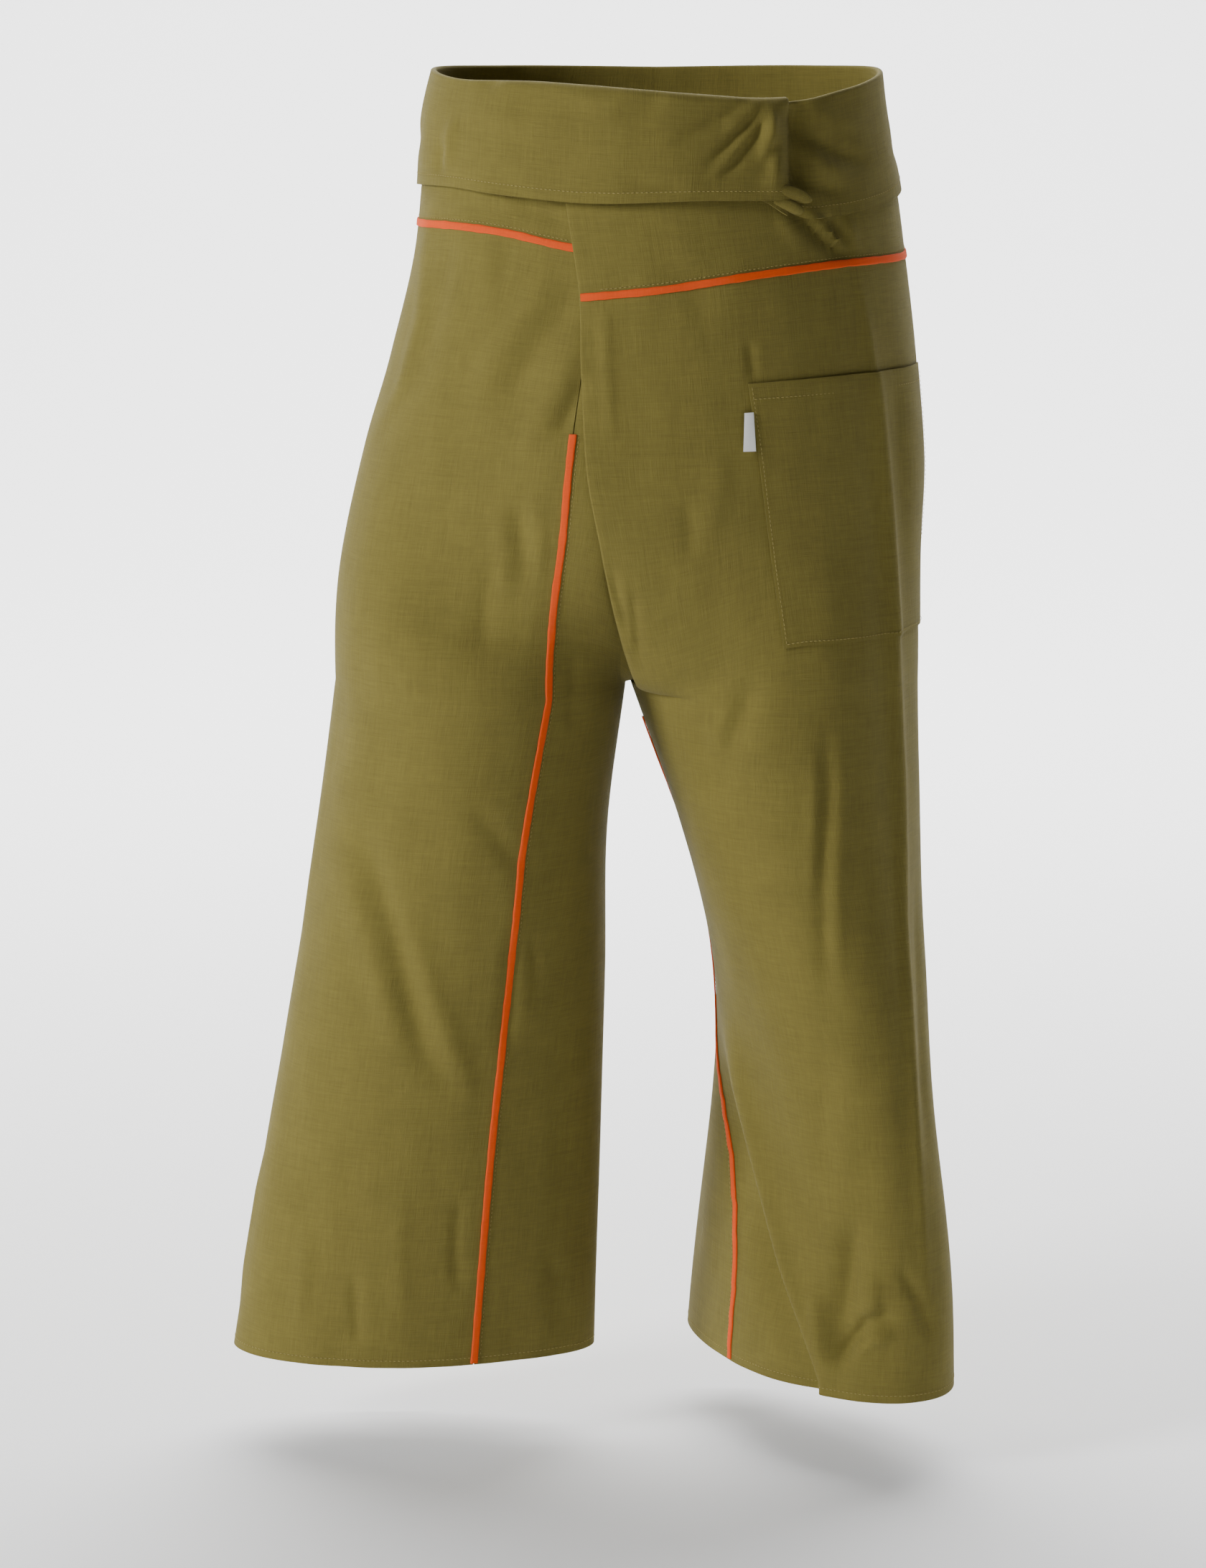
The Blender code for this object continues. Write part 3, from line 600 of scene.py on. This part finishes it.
SHIN_RIDGE = ((1001, 1330), (1004, 1400), (1026, 1510), (1060, 1649), (1089, 1763), (1123, 1868),
              (1142, 1930))


def shin_fold(at):
    """Step of the cloth behind the long front ridge of the left shin."""
    ridge = smooth(at[:, 1], [y for _, y in SHIN_RIDGE], [x for x, _ in SHIN_RIDGE])
    behind = ridge - at[:, 0]
    span_y = ease((at[:, 1] - 1400) / 200)
    return -0.013 * span_y * ease(behind / 16) * np.exp(-(np.maximum(behind, 0) / 62) ** 2)


WAVES = np.random.default_rng(7)
WAVE_LIST = [(WAVES.normal(0, 1, 3) * (26, 26, 9), WAVES.uniform(0, 6.28)) for _ in range(14)]
FINE_LIST = [(WAVES.normal(0, 1, 3) * (90, 90, 34), WAVES.uniform(0, 6.28)) for _ in range(18)]


def relief(points, out):
    """How far the creased cloth stands out from the plain form."""
    shape = points.shape[:-1]
    p = points.reshape(-1, 3)
    n = out.reshape(-1, 2)
    front = ease((-n[:, 1] - 0.02) / 0.35)
    back = ease((n[:, 1] - 0.15) / 0.4)
    left = ease((n[:, 0] - 0.45) / 0.3) * (p[:, 0] > 0.05) * (1 - front)
    right = ease((-n[:, 0] - 0.45) / 0.3) * (p[:, 0] < -0.05) * (1 - front)
    h = front * stroke_field(seen(p), FRONT_CREASES, 1.0)
    h += back * stroke_field(np.stack([-p[:, 0], p[:, 2]], 1), BACK_CREASES, 1e-3)
    h += left * stroke_field(np.stack([p[:, 1], p[:, 2]], 1), LEFT_CREASES, 1e-3)
    h += right * stroke_field(np.stack([-p[:, 1], p[:, 2]], 1), RIGHT_CREASES, 1e-3)
    for k, phase in WAVE_LIST:
        h += 0.00034 * np.sin(p @ k + phase)
    for k, phase in FINE_LIST:
        h += 0.00007 * np.sin(p @ k + phase)
    h += front * shin_fold(seen(p)) * (p[:, 0] > 0)
    # the legs' long slack waves grow towards the hems
    low = ease((-0.46 - p[:, 2]) / 0.4)
    h += 0.0016 * low * np.sin(31 * p[:, 0] + 17 * p[:, 1] - 2.2 * p[:, 2] + 0.7)
    return h.reshape(shape)


def creased(points, out):
    return points + relief(points, out)[..., None] * upright(out)


def cloth(side, u, t):
    return creased(*cloth_base(side, u, t))


def band(side, u, share, v):
    return creased(*band_base(side, u, share, v))


def cloth_frame(side, u, t, du=0.006, dt=0.006):
    """Points on the creased cloth, with unit vectors along u, along t and outwards."""
    u, t = np.broadcast_arrays(np.asarray(u, float), np.asarray(t, float))
    p = cloth(side, u, t)
    u0, u1 = np.clip(u - du, 0, 4), np.clip(u + du, 0, 4)
    t0, t1 = np.clip(t - dt, 0, 3), np.clip(t + dt, 0, 3)
    a = cloth(side, u1, t) - cloth(side, u0, t)
    b = cloth(side, u, t1) - cloth(side, u, t0)
    a /= np.linalg.norm(a, axis=-1, keepdims=True)
    b /= np.linalg.norm(b, axis=-1, keepdims=True)
    n = np.cross(a, b)
    n /= np.linalg.norm(n, axis=-1, keepdims=True)
    out = cloth_base(side, u, t)[1]
    way = np.sign((n[..., :2] * out).sum(-1, keepdims=True))
    return p, a, b, n * np.where(way == 0, 1, way)


def numbering(grid):
    """Vertex numbers of a grid of points."""
    return np.arange(grid.size // 3).reshape(grid.shape[:2])


def grid_faces(index, wrap_columns=False):
    """Quads between the rows and columns of a grid, closed round where asked."""
    a = index[:-1, :-1]
    b = index[:-1, 1:]
    c = index[1:, 1:]
    d = index[1:, :-1]
    faces = np.stack([a, b, c, d], -1).reshape(-1, 4)
    if wrap_columns:
        last = np.stack([index[:-1, -1], index[:-1, 0], index[1:, 0], index[1:, -1]], -1)
        faces = np.vstack([faces, last])
    return faces


def tube_faces(index):
    """Quads round a tube whose rows are rings, with both end rings filled."""
    ends = []
    for ring in (index[0], index[-1]):
        k = len(ring)
        for i in range(k // 2 - 1):
            ends.append((ring[i], ring[i + 1], ring[k - 2 - i], ring[k - 1 - i]))
    return np.vstack([grid_faces(index, True), np.array(ends)])


def vertex_normals(points, faces):
    a, b, c, d = (points[faces[:, i]] for i in range(4))
    n = np.cross(c - a, d - b)
    total = np.zeros_like(points)
    for i in range(4):
        np.add.at(total, faces[:, i], n)
    return total / np.maximum(np.linalg.norm(total, axis=1, keepdims=True), 1e-12)


def make(name, verts, faces, material, uvs):
    """Smooth mesh of quads, carried by the part's one body."""
    mesh = bpy.data.meshes.new(name)
    mesh.vertices.add(len(verts))
    mesh.vertices.foreach_set("co", np.asarray(verts, np.float32).ravel())
    count = len(faces)
    mesh.loops.add(count * 4)
    mesh.loops.foreach_set("vertex_index", np.asarray(faces, np.int32).ravel())
    mesh.polygons.add(count)
    mesh.polygons.foreach_set("loop_start", np.arange(0, count * 4, 4, dtype=np.int32))
    mesh.polygons.foreach_set("use_smooth", np.full(count, True))
    layer = mesh.uv_layers.new(name="cloth")
    layer.data.foreach_set("uv", np.asarray(uvs[faces.ravel()], np.float32).ravel())
    mesh.update(calc_edges=True)
    mesh.validate()
    mesh.materials.append(material)
    obj = bpy.data.objects.new(name, mesh)
    bpy.context.scene.collection.objects.link(obj)
    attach(obj, "root")
    return obj


def shell(name, points, faces, uvs, material, thickness=WALL, *, outward):
    """Closed thin shell round a sheet of quads."""
    n = vertex_normals(points, faces)
    if (n * outward).sum() < 0:
        faces = faces[:, ::-1]
        n = -n
    count = len(points)
    verts = np.vstack([points + n * thickness / 2, points - n * thickness / 2])
    edges = np.vstack([faces[:, (i, (i + 1) % 4)] for i in range(4)])
    key = np.sort(edges, 1)
    _, first, uses = np.unique(key[:, 0] * (count + 1) + key[:, 1], return_index=True,
                               return_counts=True)
    rim = edges[first[uses == 1]]
    sides = np.stack([rim[:, 1], rim[:, 0], rim[:, 0] + count, rim[:, 1] + count], 1)
    whole = np.vstack([faces, faces[:, ::-1] + count, sides])
    obj = make(name, verts, whole, material, np.vstack([uvs, uvs]))
    obj.data.set_sharp_from_angle(angle=math.radians(50))
    return obj


def grid_uvs(grid):
    """Cloth coordinates in metres, even along each thread."""
    across = np.linalg.norm(np.diff(grid, axis=1), axis=2).mean(0)
    down = np.linalg.norm(np.diff(grid, axis=0), axis=2).mean(1)
    x = np.concatenate([[0], np.cumsum(across)])
    y = np.concatenate([[0], np.cumsum(down)])
    return np.stack(np.meshgrid(x, -y), -1)


def span(*stops):
    """Joined even runs: start, then (end, steps) pairs."""
    values = [stops[0]]
    for end, steps in stops[1:]:
        values += list(np.linspace(values[-1], end, steps + 1)[1:])
    return np.array(values)


# Materials
def shader(name):
    m = bpy.data.materials.new(name)
    m.use_nodes = True
    nodes = m.node_tree.nodes
    return m, nodes, m.node_tree.links, nodes["Principled BSDF"]


def node(nodes, kind, **values):
    n = nodes.new(kind)
    for key, value in values.items():
        if key in n.inputs:
            n.inputs[key].default_value = value
        else:
            setattr(n, key, value)
    return n


def cloth_material(name, colour, mottle=0.22, weave=0.5):
    """Plain woven cotton: slubs along both threads, soft mottling, and a fine weave."""
    m, nodes, links, bsdf = shader(name)
    bsdf.inputs["Roughness"].default_value = 0.88
    bsdf.inputs["Specular IOR Level"].default_value = 0.18
    bsdf.inputs["Sheen Weight"].default_value = 0.03
    bsdf.inputs["Sheen Roughness"].default_value = 0.5
    uv = node(nodes, "ShaderNodeUVMap", uv_map="cloth")
    threads = []
    for scale in ((1500, 60, 1), (60, 1500, 1), (420, 16, 1), (16, 420, 1)):
        mapping = node(nodes, "ShaderNodeMapping")
        mapping.inputs["Scale"].default_value = scale
        links.new(uv.outputs["UV"], mapping.inputs["Vector"])
        noise = node(nodes, "ShaderNodeTexNoise", Scale=1.0, Detail=2.0, Roughness=0.6)
        links.new(mapping.outputs["Vector"], noise.inputs["Vector"])
        threads.append(noise.outputs["Fac"])

    def maths(operation, a, b):
        n = node(nodes, "ShaderNodeMath", operation=operation)
        for i, value in enumerate((a, b)):
            if isinstance(value, float):
                n.inputs[i].default_value = value
            else:
                links.new(value, n.inputs[i])
        return n.outputs["Value"]

    fine = maths("ADD", threads[0], threads[1])
    coarse = maths("ADD", threads[2], threads[3])
    weave_height = maths("ADD", fine, maths("MULTIPLY", coarse, 0.6))
    patches = node(nodes, "ShaderNodeTexNoise", Scale=26.0, Detail=3.0, Roughness=0.6)
    links.new(uv.outputs["UV"], patches.inputs["Vector"])
    tone = maths("ADD", maths("MULTIPLY", weave_height, 0.32),
                 maths("MULTIPLY", patches.outputs["Fac"], 0.22))
    ramp = node(nodes, "ShaderNodeMapRange")
    ramp.inputs["From Min"].default_value = 0.42
    ramp.inputs["From Max"].default_value = 0.82
    ramp.inputs["To Min"].default_value = 1 - mottle
    ramp.inputs["To Max"].default_value = 1 + mottle
    links.new(tone, ramp.inputs["Value"])
    base = node(nodes, "ShaderNodeVectorMath", operation="SCALE")
    base.inputs[0].default_value = colour
    links.new(ramp.outputs["Result"], base.inputs["Scale"])
    links.new(base.outputs["Vector"], bsdf.inputs["Base Color"])
    bump = node(nodes, "ShaderNodeBump", Strength=weave, Distance=0.0006)
    links.new(weave_height, bump.inputs["Height"])
    links.new(bump.outputs["Normal"], bsdf.inputs["Normal"])
    return m


OLIVE = cloth_material("olive_cotton", (0.176, 0.146, 0.034))
PIPING = cloth_material("orange_piping", (0.76, 0.085, 0.012), 0.10, 0.25)
LABEL = cloth_material("white_label", (0.80, 0.80, 0.78), 0.03, 0.2)
THREAD = cloth_material("olive_thread", (0.34, 0.28, 0.095), 0.05, 0.1)

T_ROWS = span(0, (1, 46), (2, 56), (3, 138))
CROTCH_ROW = int(np.argmin(np.abs(T_ROWS - 2)))
OUTER_U = {
    "right": span(1 + SEAM_U, (1.1, 3), (1.2, 4), (2, 64), (3 - SEAM_U, 66)),
    "left": span(1 + SEAM_U, (1.1, 10), (1.2, 9), (2, 86), (3 - SEAM_U, 66)),
}
FRONT_U = span(0, (1 - SEAM_U, 44))
BACK_U = span(3 + SEAM_U, (4, 44))


def outer_leg(side):
    u, t = np.meshgrid(OUTER_U[side], T_ROWS)
    grid = cloth(side, u, t)
    out = upright(cloth_base(side, u, t)[1])
    flip = np.where((side == "left") & (u < 1.15), -1, 1)[..., None]
    obj = shell("cloth_leg_outer_" + side, grid.reshape(-1, 3), grid_faces(numbering(grid)),
                grid_uvs(grid).reshape(-1, 2), OLIVE, outward=(out * flip).reshape(-1, 3))
    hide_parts("leg_outer_" + side)
    return obj


def inner_leg(side):
    """Two tails above the crotch, one cloth below it."""
    grids = []
    for us in (BACK_U, FRONT_U):
        u, t = np.meshgrid(us, T_ROWS)
        grids.append(cloth(side, u, t))
    back, front = grids
    middle = (back[CROTCH_ROW:, -1] + front[CROTCH_ROW:, 0]) / 2
    back[CROTCH_ROW:, -1] = middle
    front[CROTCH_ROW:, 0] = middle
    back_index = numbering(back)
    front_index = back_index.size + numbering(front)
    front_index[CROTCH_ROW:, 0] = back_index[CROTCH_ROW:, -1]
    points = np.vstack([back.reshape(-1, 3), front.reshape(-1, 3)])
    front_uvs = grid_uvs(front)
    back_uvs = grid_uvs(back)
    front_uvs[..., 0] += back_uvs[..., 0].max()
    uvs = np.vstack([back_uvs.reshape(-1, 2), front_uvs.reshape(-1, 2)])
    faces = np.vstack([grid_faces(back_index), grid_faces(front_index)])
    kept, faces = np.unique(faces, return_inverse=True)
    faces = faces.reshape(-1, 4)
    points = points[kept]
    rows = points[:, 2] < -0.6
    centre = points[rows].mean(0) * (1, 1, 0)
    outward = np.where(rows[:, None], (points - centre) * (1, 1, 0), 0)
    obj = shell("cloth_leg_inner_" + side, points, faces, uvs[kept], OLIVE, outward=outward)
    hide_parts("leg_inner_" + side)
    return obj


def band_columns():
    left_u = span(0, (1, 60), (1.1, 6), (1.2, 9), (2, 86), (3, 66), (4, 40))
    right_u = span(0, (1, 60), (1.2, 5), (2, 56), (3, 60), (4, 40))
    side = np.concatenate([-np.ones(len(left_u)), np.zeros(7), np.ones(len(right_u) - 1)])
    u = np.concatenate([left_u[::-1], np.zeros(7), right_u[:-1]])
    share = np.concatenate([0 * left_u, np.linspace(0, 1, 9)[1:-1], 0 * right_u[:-1]])
    return side, u, share


def waistband():
    side, u, share = band_columns()
    v = span(0, (1, 20), (2, 10), (3, 24))
    grid = band(side[None], u[None], share[None], v[:, None])
    out = upright(band_base(side[None], u[None], share[None], v[:, None])[1])
    out *= ((side[None] < 0) & (u[None] > 1.2) & (v[:, None] < 1))[..., None]
    obj = shell("cloth_waistband", grid.reshape(-1, 3), grid_faces(numbering(grid), True),
                grid_uvs(grid).reshape(-1, 2), OLIVE, outward=out.reshape(-1, 3))
    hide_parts("waistband")
    return obj


def ribbon(name, p, across, out):
    """Piping: flat tape with rounded edges along points p, closed all round."""
    profile = ((-1, 0.0), (-0.97, 0.62), (-0.8, 0.95), (-0.4, 1.0), (0.4, 1.0), (0.8, 0.95),
               (0.97, 0.62), (1, 0.0), (0.8, -0.1), (-0.8, -0.1))
    run = arc_lengths(p)
    wobble = 1 + 0.05 * np.sin(run * 420) * np.sin(run * 97) + 0.04 * np.sin(run * 173)
    rings = []
    for x, y in profile:
        rings.append(p + across * (x * PIPING_WIDTH / 2 * wobble)[:, None]
                     + out * (PIPING_LIFT + y * PIPING_THICKNESS))
    grid = np.stack(rings, 1)
    x = np.linspace(0, PIPING_WIDTH, len(profile))
    uvs = np.stack(np.meshgrid(x, run), -1).reshape(-1, 2)
    obj = make("ribbon_" + name, grid.reshape(-1, 3), tube_faces(numbering(grid)), PIPING, uvs)
    obj.data.set_sharp_from_angle(angle=math.radians(60))
    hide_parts(name)


def leg_piping(name, side, u, first):
    t = np.linspace(first, LEG_END, 360)
    p, across, _, out = cloth_frame(side, np.full(len(t), float(u)), t)
    ribbon(name, p, across, out)


def yoke_points(side, u, rise):
    """Points of the outermost ply near the yoke seam, with frame vectors."""
    z = yoke_z(side, u) + rise
    bearing, depth, slide = wrap(side, u, z)
    plan, out = torso_point(z, bearing, depth, slide)
    return creased(upright(plan, z), out), upright(out)


def yoke_piping(name, side, u0):
    u = span(u0, (2, 160), (3, 120), (3.998, 70))
    upper, _ = yoke_points(side, u, 0.004)
    lower, _ = yoke_points(side, u, -0.004)
    p, n = yoke_points(side, u, 0.0)
    across = upper - lower
    across /= np.linalg.norm(across, axis=1, keepdims=True)
    ribbon(name, p, across, n)


def stitches(lines, name):
    """Small raised stitches along lines of (points, outward) pairs."""
    verts = []
    faces = []
    base = 0
    for p, out in lines:
        run = arc_lengths(p)
        places = np.arange(PITCH / 2, run[-1] - PITCH / 2, PITCH)
        ends = []
        for shift in (-STITCH / 2, STITCH / 2):
            q = places + shift
            ends.append(np.stack([np.interp(q, run, p[:, i]) for i in range(3)], 1))
        normal = np.stack([np.interp(places, run, out[:, i]) for i in range(3)], 1)
        normal /= np.linalg.norm(normal, axis=1, keepdims=True)
        along = ends[1] - ends[0]
        along /= np.linalg.norm(along, axis=1, keepdims=True)
        wide = np.cross(along, normal)
        middle = (ends[0] + ends[1]) / 2
        block = []
        for s, w, h in ((-1, 0.5, 0.0), (-1, -0.5, 0.0), (-0.4, -0.8, 0.75), (-0.4, 0.8, 0.75),
                        (0.4, 0.8, 0.75), (0.4, -0.8, 0.75), (1, -0.5, 0.0), (1, 0.5, 0.0)):
            block.append(middle + along * s * STITCH / 2 + wide * w * STITCH_HALF_WIDTH
                         + normal * (WALL / 2 + STITCH_RISE * h))
        block = np.stack(block, 1)
        k = len(places)
        verts.append(block.reshape(-1, 3))
        cell = np.array(((0, 1, 2, 3), (3, 2, 5, 4), (4, 5, 6, 7), (0, 3, 4, 7), (1, 6, 5, 2),
                         (0, 7, 6, 1)))
        faces.append((base + 8 * np.arange(k)[:, None, None] + cell).reshape(-1, 4))
        base += 8 * k
    faces = np.vstack(faces)
    verts = np.vstack(verts)
    obj = make(name, verts, faces, THREAD, np.zeros((len(verts), 2)))


def cloth_line(side, u, t):
    p, _, _, out = cloth_frame(side, u, t)
    return p, out


def patch(name, side, u_run, t_run, thickness, lift, material, puff, lean):
    """Patch on a leg, made from the cloth's own points and moved out. lean moves the top of
    its front edge forwards."""
    u, t = np.meshgrid(u_run, t_run)
    fu = (u - u.min()) / (u.max() - u.min())
    ft = (t - t.min()) / (t.max() - t.min())
    u = u - lean * (1 - fu) * (1 - ft)
    p, _, _, out = cloth_frame(side, u, t)
    rise = lift + puff * np.sin(math.pi * fu) ** 0.7 * (1 - ft) ** 0.6 * ease(ft / 0.06 + 0.35)
    p = p + out * rise[..., None]
    obj = shell(name, p.reshape(-1, 3), grid_faces(numbering(p)), grid_uvs(p).reshape(-1, 2),
                material, thickness, outward=out.reshape(-1, 3))
    return obj


for side in ("right", "left"):
    outer_leg(side)
    inner_leg(side)
belt = waistband()

for side in ("right", "left"):
    leg_piping("piping_front_" + side, side, 1, FRONT_PIPING_FROM[side])
for side in ("right", "left"):
    leg_piping("piping_back_" + side, side, 3, BACK_PIPING_FROM)
yoke_piping("piping_yoke_left", "left", 1.2)
yoke_piping("piping_yoke_right", "right", 1.225)

pocket = patch("cloth_pocket", "left", np.linspace(*POCKET_U, 90), np.linspace(*POCKET_T, 100),
               0.001, WALL + 0.0005, OLIVE, 0.0010, POCKET_LEAN)
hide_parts("pocket")
tag = patch("label_tag", "left", np.linspace(*TAG_U, 10), np.linspace(*TAG_T, 24),
            0.0007, 2 * WALL + 0.0012, LABEL, 0.0004, TAG_LEAN)
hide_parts("tag")


def tie_band():
    u_left = span(1.2, (2, 80), (3, 60), (4, 40))
    u_right = span(4, (3, 40), (2, 60), (1.32, 60))[1:]
    z = np.linspace(TIE_Z + TIE_WIDTH / 2, TIE_Z - TIE_WIDTH / 2, 9)[:, None]
    rows = []
    for side, u in (("left", u_left), ("right", u_right)):
        bearing = wrap(side, u[None], z)[0]
        zz = np.broadcast_to(z, bearing.shape)
        plan, out = torso_point(zz, bearing, np.full(bearing.shape, -(PLY + BAND_RIM_ROOM) / 2))
        rows.append(creased(upright(plan, zz), out))
    grid = np.concatenate(rows, 1)
    centre = grid.reshape(-1, 3).mean(0)
    outward = (grid.reshape(-1, 3) - centre) * (1, 1, 0)
    obj = shell("cloth_tie", grid.reshape(-1, 3), grid_faces(numbering(grid)),
                grid_uvs(grid).reshape(-1, 2), OLIVE, outward=outward)
    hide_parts("tie")
    return obj


tie = tie_band()

# Stitching: hems, yoke, beside the pipings, pocket edges and the waistband's free hem
lines = []
for side in ("right", "left"):
    whole = np.linspace(0.01, 3.99, 700)
    lines.append(cloth_line(side, whole, np.full(700, LEG_HEM_ROW)))
    run = np.linspace(0.04, 2.99, 700)
    for seam, shift, first in ((1, BESIDE_PIPING, FRONT_PIPING_FROM[side]), (3, -BESIDE_PIPING, 0)):
        t = run[run > first]
        p, across, _, out = cloth_frame(side, np.full(len(t), float(seam)), t)
        lines.append((p - across * shift, out))
    u = span(1.25, (2, 160), (3, 120), (3.998, 70))
    lines.append(yoke_points(side, u, BESIDE_PIPING))
u0, u1 = POCKET_U[0] + 0.008, POCKET_U[1] - 0.008
t0, t1 = POCKET_T[0] + 0.016, POCKET_T[1] - 0.016
even = np.linspace(0, 1, 120)
edge = [(u0 - POCKET_LEAN * (1 - even), t0 + (t1 - t0) * even),
        (u0 + (u1 - u0) * even, t1 + 0 * even),
        (u1 + 0 * even, t1 + (t0 - t1) * even),
        (np.linspace(u0 - POCKET_LEAN * 0.93, u1, 120), POCKET_T[0] + POCKET_HEM + 0 * even)]
for u, t in edge:
    p, _, _, out = cloth_frame("left", u, t)
    lines.append((p + out * (WALL + 0.0010), out))
round_band = band_columns() + (BAND_HEM_V,)
lines.append((band(*round_band), upright(band_base(*round_band)[1])))
stitches(lines, "stitching")


# Two small ends of the knotted tie that show under the overlap
def lobe(name, start, end, tall, deep, droop, seed):
    """Short end of doubled cloth with rounded tip and a soft fold line."""
    rng = np.random.default_rng(seed)
    start, end = np.array(start), np.array(end)
    axis = end - start
    length = np.linalg.norm(axis)
    axis = axis / length
    up = np.array((0.0, 0.0, 1.0)) - axis * axis[2]
    up /= np.linalg.norm(up)
    out = np.cross(axis, up)
    if out[1] > 0:
        out = -out
    s = np.linspace(0, 1, 26)
    a = np.linspace(0, 2 * math.pi, 33)[:-1]
    phase = rng.uniform(0, 6)
    rows = []
    for k in s:
        round_off = math.sqrt(max(1e-4, 1 - max(0.0, (k - 0.55) / 0.45) ** 2.4))
        h = tall / 2 * round_off * (0.86 + 0.14 * math.sin(2.2 * k + phase))
        d = deep / 2 * round_off * (0.9 + 0.1 * math.sin(5 * k + phase))
        fold = 1 - 0.22 * np.exp(-((a - 1.35) / 0.35) ** 2)
        middle = start + axis * length * k + np.array((0, 0, -droop * k * k))
        rows.append(middle + np.outer(np.sin(a) * h, up) + np.outer(np.cos(a) * d * fold, out))
    grid = np.array(rows)
    uvs = np.stack(np.meshgrid(np.linspace(0, 0.03, 32), s * length), -1).reshape(-1, 2)
    obj = make(name, grid.reshape(-1, 3), tube_faces(numbering(grid)), OLIVE, uvs)


lobe("tie_end_upper", (0.078, TIE_END_Y + 0.001, -0.0515), (0.1065, TIE_END_Y + 0.010, -0.0590),
     0.010, 0.005, 0.002, 3)
lobe("tie_end_lower", (0.078, TIE_END_Y + 0.001, -0.0600), (0.1000, TIE_END_Y + 0.006, -0.0680),
     0.010, 0.005, 0.001, 5)

# Floor with a curved backdrop
floor_material, _, _, floor_shader = shader("pale_backdrop")
floor_shader.inputs["Base Color"].default_value = (0.93, 0.93, 0.93, 1)
floor_shader.inputs["Roughness"].default_value = 0.9
ys = list(np.linspace(-6, 3.5, 12)) + [3.5 + 1.5 * math.sin(a) for a in np.linspace(0.2, 1.57, 10)]
zs = [FLOOR_Z] * 12 + [FLOOR_Z + 1.5 - 1.5 * math.cos(a) for a in np.linspace(0.2, 1.57, 10)]
ys.append(5.0)
zs.append(6.0)
verts = [(x, y, z) for y, z in zip(ys, zs) for x in (-7, 7)]
index = np.arange(len(verts)).reshape(-1, 2)
mesh = bpy.data.meshes.new("floor")
mesh.from_pydata(verts, [], [tuple(int(i) for i in f) for f in grid_faces(index)])
mesh.materials.append(floor_material)
mesh.shade_smooth()
floor = bpy.data.objects.new("floor", mesh)
bpy.context.scene.collection.objects.link(floor)


def area_light(name, place, aim, size, power, colour=(1, 1, 1)):
    data = bpy.data.lights.new(name, "AREA")
    data.shape = "RECTANGLE"
    data.size, data.size_y = size
    data.energy = power
    data.color = colour
    light = bpy.data.objects.new(name, data)
    bpy.context.scene.collection.objects.link(light)
    light.location = place
    d = np.array(place) - np.array(aim)
    light.rotation_euler = (math.atan2(math.hypot(d[0], d[1]), d[2]), 0,
                            math.atan2(d[1], d[0]) + math.pi / 2)
    return light


area_light("key", (-3.5, -1.9, 1.2), (0, 0, -0.4), (1.1, 1.6), 158)
area_light("fill", (-0.8, -3.8, 0.5), (0, 0, -0.5), (1.4, 1.8), 9)
area_light("floor_light", (0.0, 2.9, 2.3), (0, 3.1, -1.03), (6.0, 2.6), 380)
area_light("backdrop", (0.0, 1.6, 3.4), (0, 5.0, 0.8), (5.0, 1.0), 300)

world = bpy.data.worlds.new("studio")
bpy.context.scene.world = world
world.use_nodes = True
world.node_tree.nodes["Background"].inputs["Color"].default_value = (1, 1, 1, 1)
world.node_tree.nodes["Background"].inputs["Strength"].default_value = 0.09

camera_data = bpy.data.cameras.new("camera")
camera_data.lens = LENS
camera_data.sensor_width = SENSOR
camera = bpy.data.objects.new("camera", camera_data)
bpy.context.scene.collection.objects.link(camera)
camera.location = tuple(EYE)
camera.rotation_euler = (TILT, 0, 0)
bpy.context.scene.camera = camera
